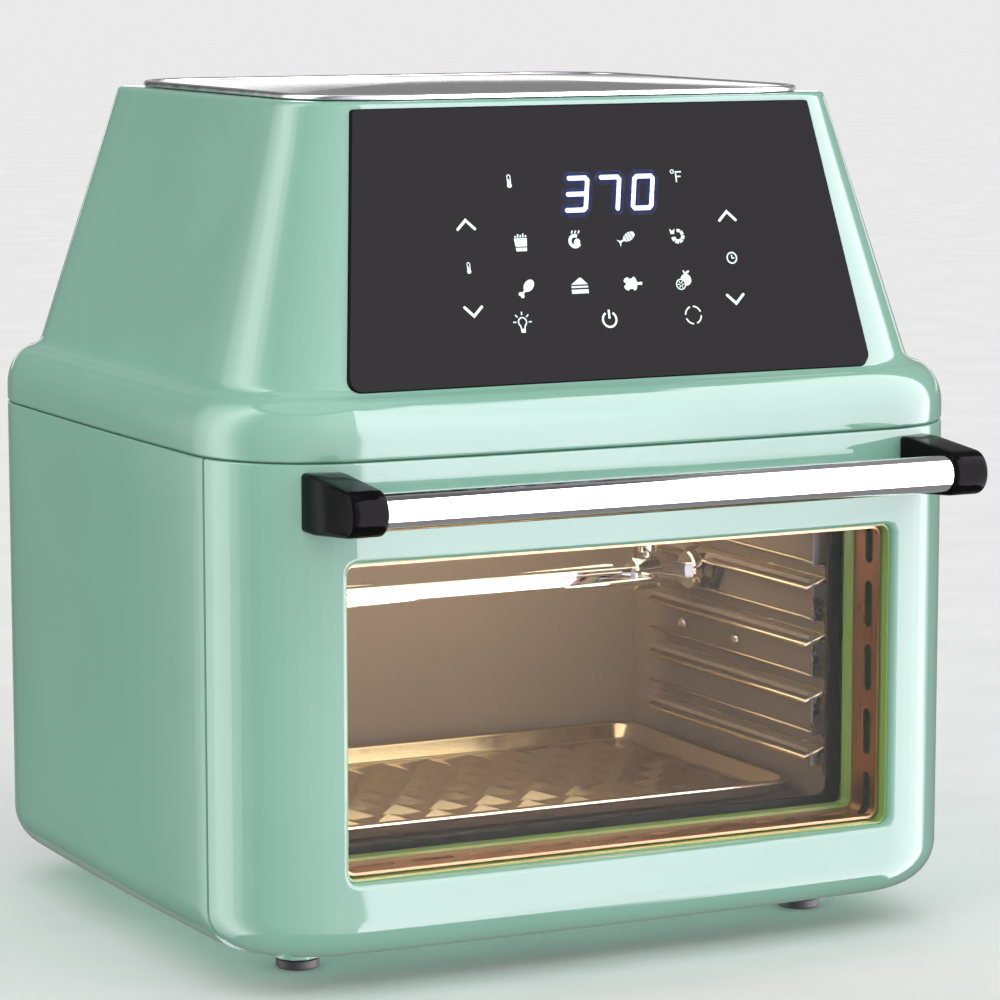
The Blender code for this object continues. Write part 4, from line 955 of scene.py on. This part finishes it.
class Sign:
    """Flat shapes drawn on the panel in millimetres about a centre, collected as thin solids."""

    def __init__(self, across, down, lift=ICON_LIFT, turn=0.0, scale=1.0):
        self.centre = (across, down)
        self.lift = lift
        self.turn = math.radians(turn)
        self.scale = scale
        self.shape = bmesh.new()

    def spot(self, x, y, lift):
        c, s = math.cos(self.turn), math.sin(self.turn)
        x, y = (x * c - y * s) * self.scale, (x * s + y * c) * self.scale
        return panel_point(self.centre[0] + x, self.centre[1] - y, lift) * MM

    def fill(self, points):
        """A filled shape, anticlockwise, with y up the slope."""
        low = [self.shape.verts.new(self.spot(x, y, self.lift)) for x, y in points]
        high = [self.shape.verts.new(self.spot(x, y, self.lift + ICON_THICK)) for x, y in points]
        self.shape.faces.new(high)
        self.shape.faces.new(reversed(low))
        for i in range(len(points)):
            j = (i + 1) % len(points)
            self.shape.faces.new((low[i], low[j], high[j], high[i]))

    def disc(self, x, y, radius, stretch=1.0, tilt=0.0, steps=28):
        c, s = math.cos(math.radians(tilt)), math.sin(math.radians(tilt))
        points = []
        for i in range(steps):
            px = radius * math.cos(2 * math.pi * i / steps)
            py = radius * stretch * math.sin(2 * math.pi * i / steps)
            points.append((x + px * c - py * s, y + px * s + py * c))
        self.fill(points)

    def line(self, points, width):
        """A stroke with mitred joints."""
        count = len(points)
        sides = []
        for i in range(count):
            before = Vector(points[i]) - Vector(points[max(i - 1, 0)])
            after = Vector(points[min(i + 1, count - 1)]) - Vector(points[i])
            before = (before if before.length else after).normalized()
            after = (after if after.length else before).normalized()
            middle = (before + after).normalized()
            normal = Vector((-middle.y, middle.x))
            reach = width / 2 / max(0.35, normal.dot(Vector((-after.y, after.x))))
            sides.append((Vector(points[i]) + normal * reach, Vector(points[i]) - normal * reach))
        for (l0, r0), (l1, r1) in zip(sides, sides[1:]):
            self.fill([tuple(r0), tuple(r1), tuple(l1), tuple(l0)])

    def ring(self, x, y, radius, width, first=0, last=360, steps=30):
        self.line(arc((x, y), radius, first, last, steps), width)

    def finish(self, name, look="icon"):
        mesh = bpy.data.meshes.new(name)
        self.shape.to_mesh(mesh)
        self.shape.free()
        return make(name, mesh, look, BODY_PART, smooth=0)


def draw_thermometer(name, across, down, scale=1.0):
    sign = Sign(across, down, scale=scale)
    sign.ring(0, 1.9, 0.75, 0.4, 0, 180, 10)
    sign.line([(-0.75, 1.9), (-0.75, -1.2)], 0.4)
    sign.line([(0.75, 1.9), (0.75, -1.2)], 0.4)
    sign.line([(0, 0.6), (0, -1.6)], 0.55)
    sign.disc(0, -2.1, 1.15)
    sign.finish(name)


def draw_degree_f(across, down):
    sign = Sign(across, down)
    sign.ring(-2.4, 2.0, 0.8, 0.4)
    sign.line([(-0.6, -2.9), (-0.6, 2.0)], 0.6)
    sign.line([(-0.9, 1.8), (2.3, 1.8)], 0.6)
    sign.line([(-0.6, -0.3), (1.8, -0.3)], 0.6)
    sign.finish("sign_fahrenheit")


def draw_chevron(name, across, down, up):
    sign = Sign(across, down)
    tip = 2.0 * up
    sign.line([(-4.2, -tip), (0, tip), (4.2, -tip)], 1.25)
    for x, y in ((-4.2, -tip), (4.2, -tip), (0, tip)):
        sign.disc(x, y, 0.62, steps=16)
    sign.finish(name)


def draw_clock(across, down):
    sign = Sign(across, down)
    sign.ring(0, 0, 2.45, 0.62)
    sign.line([(0, 1.5), (0, -0.1), (1.3, -0.1)], 0.5)
    sign.finish("sign_clock")


def draw_fries(across, down):
    sign = Sign(across, down)
    sign.fill([(-2.6, -4.2), (2.6, -4.2), (2.75, -2.6), (-2.75, -2.6)])
    sign.fill([(-2.8, -2.1), (2.8, -2.1), (3.2, 1.6), (-3.2, 1.6)])
    for i, tall in enumerate((2.7, 3.5, 3.1, 3.7, 2.9)):
        x = -2.6 + 1.3 * i
        sign.line([(x, 2.0), (x + 0.2, tall)], 0.7)
    sign.finish("sign_fries")


def draw_steak(across, down):
    sign = Sign(across, down)
    sign.ring(0, -0.6, 2.5, 1.5, 60, 330, 24)
    sign.disc(1.0, -1.2, 1.5, 1.2, -30)
    for x in (-1.4, 0.3, 2.0):
        sign.line([(x, 2.9), (x + 0.7, 4.2)], 0.6)
    sign.finish("sign_steak")


def draw_fish(across, down):
    def half(x):
        return 1.9 * math.sqrt(max(0.05, 1 - ((x - 1.3) / 3.4) ** 2))

    sign = Sign(across, down, turn=28)
    for x0, x1 in ((-1.7, -0.6), (-0.2, 0.9), (1.3, 2.4), (2.8, 4.4)):
        sign.fill([(x0, -half(x0)), (x1, -half(x1)), (x1, half(x1)), (x0, half(x0))])
    sign.line([(-1.9, 0), (-3.6, 0)], 0.8)
    sign.fill([(-5.0, -1.9), (-3.4, -0.2), (-3.4, 0.2), (-5.0, 1.9), (-4.4, 0)])
    sign.finish("sign_fish")


def draw_shrimp(across, down):
    sign = Sign(across, down)
    for step in range(6):
        first = -170 + 46 * step
        sign.ring(0, 0, 2.5, 2.0 - 0.12 * step, first, first + 37, 6)
    sign.fill([(-3.6, 1.0), (-1.8, 1.0), (-1.4, 3.4), (-2.7, 2.3), (-4.0, 3.4)])
    sign.finish("sign_shrimp")


def draw_drumstick(across, down):
    sign = Sign(across, down, turn=45)
    sign.disc(1.6, 0, 3.2, 0.68)
    sign.line([(-1.4, 0), (-3.8, 0)], 1.0)
    sign.disc(-4.2, 0.7, 0.9, steps=16)
    sign.disc(-4.2, -0.7, 0.9, steps=16)
    sign.finish("sign_drumstick")


def draw_cake(across, down):
    sign = Sign(across, down)
    sign.fill([(-4.2, 0.7), (4.2, 0.7), (1.0, 3.7), (0.2, 3.7)])
    sign.fill([(-4.2, -0.8), (4.2, -0.8), (4.2, 0.0), (-4.2, 0.0)])
    sign.fill([(-4.2, -3.4), (4.2, -3.4), (4.2, -1.6), (-4.2, -1.6)])
    sign.finish("sign_cake")


def draw_bird(across, down):
    sign = Sign(across, down)
    sign.disc(0, 0, 3.0, 0.8)
    sign.disc(-2.6, 1.8, 1.5, 0.6, 40)
    sign.disc(-2.6, -1.8, 1.5, 0.6, -40)
    sign.disc(1.6, 1.9, 1.3, 0.6, 120)
    sign.disc(1.6, -1.9, 1.3, 0.6, -120)
    sign.line([(2.8, 0), (4.2, 0)], 1.2)
    sign.disc(4.7, 0, 0.75, steps=16)
    sign.finish("sign_bird")


def draw_fruit(across, down):
    sign = Sign(across, down)
    sign.disc(1.3, 0.7, 2.7)
    sign.finish("sign_fruit")
    slice_sign = Sign(across - 1.6, down + 1.3, lift=ICON_LIFT + ICON_THICK + 0.02)
    slice_sign.ring(0, 0, 2.3, 0.5)
    for angle in range(0, 360, 60):
        x, y = math.cos(math.radians(angle)), math.sin(math.radians(angle))
        slice_sign.line([(0.5 * x, 0.5 * y), (1.8 * x, 1.8 * y)], 0.42)
    slice_sign.finish("sign_fruit_slice")
    back = Sign(across - 1.6, down + 1.3, lift=ICON_LIFT + ICON_THICK)
    back.disc(0, 0, 2.6)
    back.finish("sign_fruit_gap", "panel")
    leaf = Sign(across, down)
    leaf.disc(2.4, 4.2, 1.2, 0.45, 30, 14)
    leaf.disc(0.7, 4.3, 0.9, 0.4, 120, 14)
    leaf.finish("sign_leaf")


def draw_lamp(across, down):
    sign = Sign(across, down)
    sign.ring(0, 0.5, 2.0, 0.55, -55, 235, 24)
    sign.line([(-1.15, -1.15), (-0.85, -2.4)], 0.55)
    sign.line([(1.15, -1.15), (0.85, -2.4)], 0.55)
    sign.fill([(-1.0, -4.3), (1.0, -4.3), (1.2, -2.5), (-1.2, -2.5)])
    for angle in (0, 45, 90, 135, 180):
        x, y = math.cos(math.radians(angle)), math.sin(math.radians(angle))
        sign.line([(3.1 * x, 0.5 + 3.1 * y), (4.6 * x, 0.5 + 4.6 * y)], 0.55)
    sign.finish("sign_lamp")


def draw_power(across, down):
    sign = Sign(across, down)
    sign.ring(0, -0.2, 3.4, 0.95, 122, 418, 30)
    sign.line([(0, 0.2), (0, 4.2)], 1.0)
    sign.finish("sign_power")


def draw_circle(across, down):
    sign = Sign(across, down)
    for first in (20, 110, 200, 290):
        sign.ring(0, 0, 4.0, 0.65, first, first + 66, 12)
    sign.finish("sign_circle")


DIGIT_HALF = (4.7, 7.25)
DIGIT_SLANT = 0.19
DIGIT_STROKES = {
    "3": (((-1, 1), (1, 1), (1, 0.06)), ((-1, 0), (0.72, 0)), ((1, -0.06), (1, -1), (-1, -1))),
    "7": (((-1, 1), (1, 1), (1, 0.08)), ((1, -0.08), (1, -0.98))),
    "0": (((-1, 0.08), (-1, 1), (1, 1), (1, 0.08)), ((-1, -0.08), (-1, -1), (1, -1), (1, -0.08))),
}


def digit_path(stroke):
    """A stroke in millimetres, slanted, with its corners cut."""
    half_x, half_y = DIGIT_HALF
    points = [Vector((x * half_x, y * half_y)) for x, y in stroke]
    path = [points[0]]
    for before, corner, after in zip(points, points[1:], points[2:]):
        path.append(corner + (before - corner).normalized() * 1.1)
        path.append(corner + (after - corner).normalized() * 1.1)
    path.append(points[-1])
    return [(p.x + DIGIT_SLANT * p.y, p.y) for p in path]


DIGIT_LAYERS = (("halo", 6.6), ("halo", 5.0), ("halo", 3.4), ("digit", 2.05))     # look, stroke width


def draw_digit(index, figure, across, down):
    """One lit digit over three wider, nearly clear layers that stand for its glow in the glass."""
    for layer, (look, thick) in enumerate(DIGIT_LAYERS):
        sign = Sign(across, down, lift=ICON_LIFT + 0.14 * layer)
        for stroke in DIGIT_STROKES[figure]:
            path = digit_path(stroke)
            sign.line(path, thick)
            for x, y in (path[0], path[-1]):
                sign.disc(x, y, thick * 0.49, steps=16)
        sign.finish("digit_%d_layer_%d" % (index, layer), look)


def make_signs():
    draw_thermometer("sign_heat_small", -43.2, 33.7)
    for index, (figure, across) in enumerate((("3", -10.0), ("7", 6.25), ("0", 23.4))):
        draw_digit(index, figure, across, 40.8)
    draw_degree_f(42.2, 33.8)
    draw_chevron("sign_up_left", -67, 52.8, 1)
    draw_chevron("sign_up_right", 65.6, 53, 1)
    draw_chevron("sign_down_left", -68.1, 91.7, -1)
    draw_chevron("sign_down_right", 64.9, 91.4, -1)
    draw_thermometer("sign_heat_left", -68, 72, 0.85)
    draw_clock(65.5, 72.4)
    draw_fries(-40.9, 61.4)
    draw_steak(-13.8, 61.4)
    draw_fish(12.6, 61.4)
    draw_shrimp(38.9, 61.4)
    draw_drumstick(-40.6, 82.3)
    draw_cake(-14.1, 82.3)
    draw_bird(12.3, 82.3)
    draw_fruit(39, 82.3)
    draw_lamp(-44.7, 97.8)
    draw_power(-1, 97.8)
    draw_circle(42, 97.8)


# ---------------------------------------------------------------- carried-over nodes
NODE_LOOKS = {
    "dark": ("display_module", "exhaust_grille", "rear_cover", "door_switch"),
    "board": ("control_board", "power_board"),
    "black": ("cord_gland",),
    "mint": ("base_plate",),
    "aluminium": ("chassis_deck", "convection_fan", "cooling_fan"),
    "steel": ("rear_screw_left", "rear_screw_right", "hinge_bracket_left", "hinge_bracket_right",
              "hinge_pin_left", "hinge_pin_right", "door_back_panel", "handle_screw_left",
              "handle_screw_right", "heater_guard", "fan_housing", "fan_shaft", "spit_support",
              "temperature_sensor"),
    "liner": ("cavity_liner", "front_flange", "rack_guide_left", "rack_guide_right"),
    "gasket": ("door_gasket",),
    "heater": ("heating_element",),
    "motor": ("rotisserie_motor", "fan_motor"),
    "lamp": ("lamp_lens", "lamp_bulb"),
    "ceramic": ("lamp_socket",),
}


def dress_nodes():
    for look, names in NODE_LOOKS.items():
        for name in names:
            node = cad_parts[name]
            node.data.materials.clear()
            node.data.materials.append(LOOKS[look])


# ---------------------------------------------------------------- stage, light and camera
CAMERA = Vector((-0.8800, -1.7571, 0.4673))
CAMERA_RIGHT = Vector((0.89246, -0.45114, 0.0))
CAMERA_UP = Vector((0.06894, 0.13639, 0.98827))


def make_camera():
    data = bpy.data.cameras.new("camera")
    data.lens = 149.46
    data.sensor_width = 36
    data.shift_y = 0.069
    camera = bpy.data.objects.new("camera", data)
    back = CAMERA_RIGHT.cross(CAMERA_UP).normalized()
    turn = Matrix((CAMERA_RIGHT.normalized(), CAMERA_UP.normalized(), back)).transposed()
    camera.matrix_world = Matrix.Translation(CAMERA) @ turn.to_4x4()
    link(camera)
    bpy.context.scene.camera = camera


def make_cavity_lamp(name, place, size, radiance, color):
    data = bpy.data.lights.new(name, "AREA")
    data.shape = "RECTANGLE"
    data.size, data.size_y = size
    data.energy = radiance * math.pi * size[0] * size[1]
    data.color = color
    lamp = bpy.data.objects.new(name, data)
    lamp.location = (Vector(place) + Vector((0, OVEN_Y, 0))) * MM
    lamp.visible_camera = False
    link(lamp)


class WorldNodes:
    """Small helper that writes node arithmetic for the studio world."""

    def __init__(self, tree):
        self.tree = tree

    def put(self, socket, value):
        if isinstance(value, (int, float)):
            socket.default_value = value
        else:
            self.tree.links.new(value, socket)

    def math(self, operation, first, second=0.0):
        node = self.tree.nodes.new("ShaderNodeMath")
        node.operation = operation
        self.put(node.inputs[0], first)
        self.put(node.inputs[1], second)
        return node.outputs[0]

    def times(self, first, second):
        return self.math("MULTIPLY", first, second)

    def plus(self, first, second):
        return self.math("ADD", first, second)

    def less(self, value):
        """One minus the value."""
        return self.math("SUBTRACT", 1.0, value)

    def ease(self, value, low, high):
        """0 below low, 1 above high, smooth between; turned round when low is above high."""
        node = self.tree.nodes.new("ShaderNodeMapRange")
        node.interpolation_type = "SMOOTHSTEP"
        flipped = low > high
        self.put(node.inputs["Value"], value)
        node.inputs["From Min"].default_value = min(low, high)
        node.inputs["From Max"].default_value = max(low, high)
        node.inputs["To Min"].default_value = 1.0 if flipped else 0.0
        node.inputs["To Max"].default_value = 0.0 if flipped else 1.0
        return node.outputs["Result"]

    def curve(self, value, stops, top):
        """A piecewise linear curve through (place, level) stops; returns level."""
        first, last = stops[0][0], stops[-1][0]
        spot = self.math("DIVIDE", self.math("SUBTRACT", value, first), last - first)
        ramp = self.tree.nodes.new("ShaderNodeValToRGB")
        for _ in stops[2:]:
            ramp.color_ramp.elements.new(0.5)
        for element, (place, level) in zip(ramp.color_ramp.elements, stops):
            element.position = (place - first) / (last - first)
            element.color = (level / top, level / top, level / top, 1)
        self.tree.links.new(spot, ramp.inputs["Fac"])
        return self.times(ramp.outputs["Color"], top)


# light level seen in reflections against azimuth in degrees, fitted to the photograph's highlights
AROUND = ((-180, 0.1), (-157, 0.1), (-149, 0.9), (-132, 2.4), (-117, 5.0), (-106, 5.0), (-98, 3.2),
          (-88, 1.0), (-76, 0.05), (-54, 0.7), (-36, 1.2), (-14, 2.0), (0, 2.6), (28, 2.8), (34, 1.6),
          (60, 1.6), (80, 0.5), (112, 0.28), (180, 0.28))
AROUND_TOP = 12                    # the level that white on the ramp stands for
FRONT_CARD = 6.8                   # extra level of the large card at the front right
FRONT_CARD_EDGE = (0.292, 0.298)   # its left edge, as the direction's x
CARD_TINT = (1.0, 0.91, 1.03)
DIM_LEVEL = 0.14                   # above and below the cards
CEILING_LEVEL = 0.95
LENS_LEVEL = 1.1                   # narrow band low behind the oven, which the top cover reflects
DIFFUSE_LEVEL, DIFFUSE_FRONT, DIFFUSE_UP = 0.72, 0.23, 0.2


def reflected_light(nodes, x, z, azimuth, elevation):
    """Light level that glossy rays see: cards all round, a ceiling, and dim above and below the cards."""
    cards = nodes.curve(azimuth, AROUND, AROUND_TOP)
    main_card = nodes.times(nodes.ease(x, *FRONT_CARD_EDGE), nodes.ease(azimuth, 100, 92))
    cards = nodes.plus(cards, nodes.times(main_card, FRONT_CARD))
    within = nodes.times(nodes.ease(elevation, -51, -48), nodes.ease(z, 0.875, 0.865))
    ceiling = nodes.times(nodes.ease(z, 0.905, 0.915), CEILING_LEVEL)
    low_light = nodes.plus(DIM_LEVEL, nodes.times(nodes.ease(z, 0.84, 0.70), 0.12))
    lens = nodes.times(nodes.ease(elevation, 0.3, 0.9), nodes.ease(elevation, 4.0, 3.4))
    lens = nodes.times(lens, nodes.ease(azimuth, 112, 125))
    level = nodes.plus(nodes.times(cards, within), nodes.times(lens, LENS_LEVEL))
    surroundings = nodes.plus(low_light, ceiling)
    return nodes.plus(level, nodes.times(surroundings, nodes.less(within)))


def make_world():
    """White to the camera, an even gradient for diffuse light, and a studio of soft cards in reflections.

    Azimuth is 0 straight out from the oven's front and grows to its right; both angles are in degrees.
    """
    world = bpy.data.worlds.new("studio")
    bpy.context.scene.world = world
    world.use_nodes = True
    tree = world.node_tree
    tree.nodes.clear()
    nodes = WorldNodes(tree)
    place = tree.nodes.new("ShaderNodeTexCoord")
    parts = tree.nodes.new("ShaderNodeSeparateXYZ")
    tree.links.new(place.outputs["Generated"], parts.inputs["Vector"])
    x, y, z = parts.outputs
    front = nodes.times(y, -1.0)
    degrees = 180 / math.pi
    azimuth = nodes.times(nodes.math("ARCTAN2", x, front), degrees)
    elevation = nodes.times(nodes.math("ARCSINE", z), degrees)

    reflected = reflected_light(nodes, x, z, azimuth, elevation)
    diffuse = nodes.plus(nodes.times(front, DIFFUSE_FRONT), nodes.times(z, DIFFUSE_UP))
    diffuse = nodes.plus(diffuse, DIFFUSE_LEVEL)
    path = tree.nodes.new("ShaderNodeLightPath")
    glossy = path.outputs["Is Glossy Ray"]
    seen = path.outputs["Is Camera Ray"]
    level = nodes.plus(nodes.times(reflected, glossy), nodes.times(diffuse, nodes.less(glossy)))
    level = nodes.plus(nodes.times(level, nodes.less(seen)), seen)

    background = tree.nodes.new("ShaderNodeBackground")
    output = tree.nodes.new("ShaderNodeOutputWorld")
    tree.links.new(level, background.inputs["Strength"])
    tint = tree.nodes.new("ShaderNodeMix")
    tint.data_type = "RGBA"
    tree.links.new(nodes.times(glossy, nodes.ease(front, 0.1, 0.25)), tint.inputs["Factor"])
    tint.inputs[6].default_value = (1, 1, 1, 1)
    tint.inputs[7].default_value = (*CARD_TINT, 1)
    tree.links.new(tint.outputs[2], background.inputs["Color"])
    tree.links.new(background.outputs["Background"], output.inputs["Surface"])


FLOOR_HALF = 40.0                  # metres; its far edge stays above the picture


def make_floor():
    """A plain pale floor under the feet; it takes the oven's shadow and stays out of its reflections."""
    mesh = bpy.data.meshes.new("floor")
    corners = [(x * FLOOR_HALF, y * FLOOR_HALF, cad_low[2]) for x, y in ((-1, -1), (1, -1), (1, 1), (-1, 1))]
    mesh.from_pydata(corners, [], [(0, 1, 2, 3)])
    mesh.materials.append(LOOKS["floor"])
    floor = bpy.data.objects.new("floor", mesh)
    link(floor)
    floor.visible_glossy = False
    floor.visible_diffuse = False


def light_scene():
    make_world()
    make_cavity_lamp("oven_lamp", (20, -20, 209), (0.20, 0.15), 1.9, (1.0, 0.84, 0.58))
    bpy.context.scene.view_settings.view_transform = "Standard"


def build():
    dress_nodes()
    make_hood()
    make_panel()
    make_signs()
    make_cover()
    make_body_shell()
    make_door_shell()
    make_window_collar()
    make_door_glass()
    make_sleeve()
    make_handle()
    make_feet()
    make_tray()
    make_racks()
    make_spit()
    make_inside_screws()


build()
make_floor()
light_scene()
make_camera()
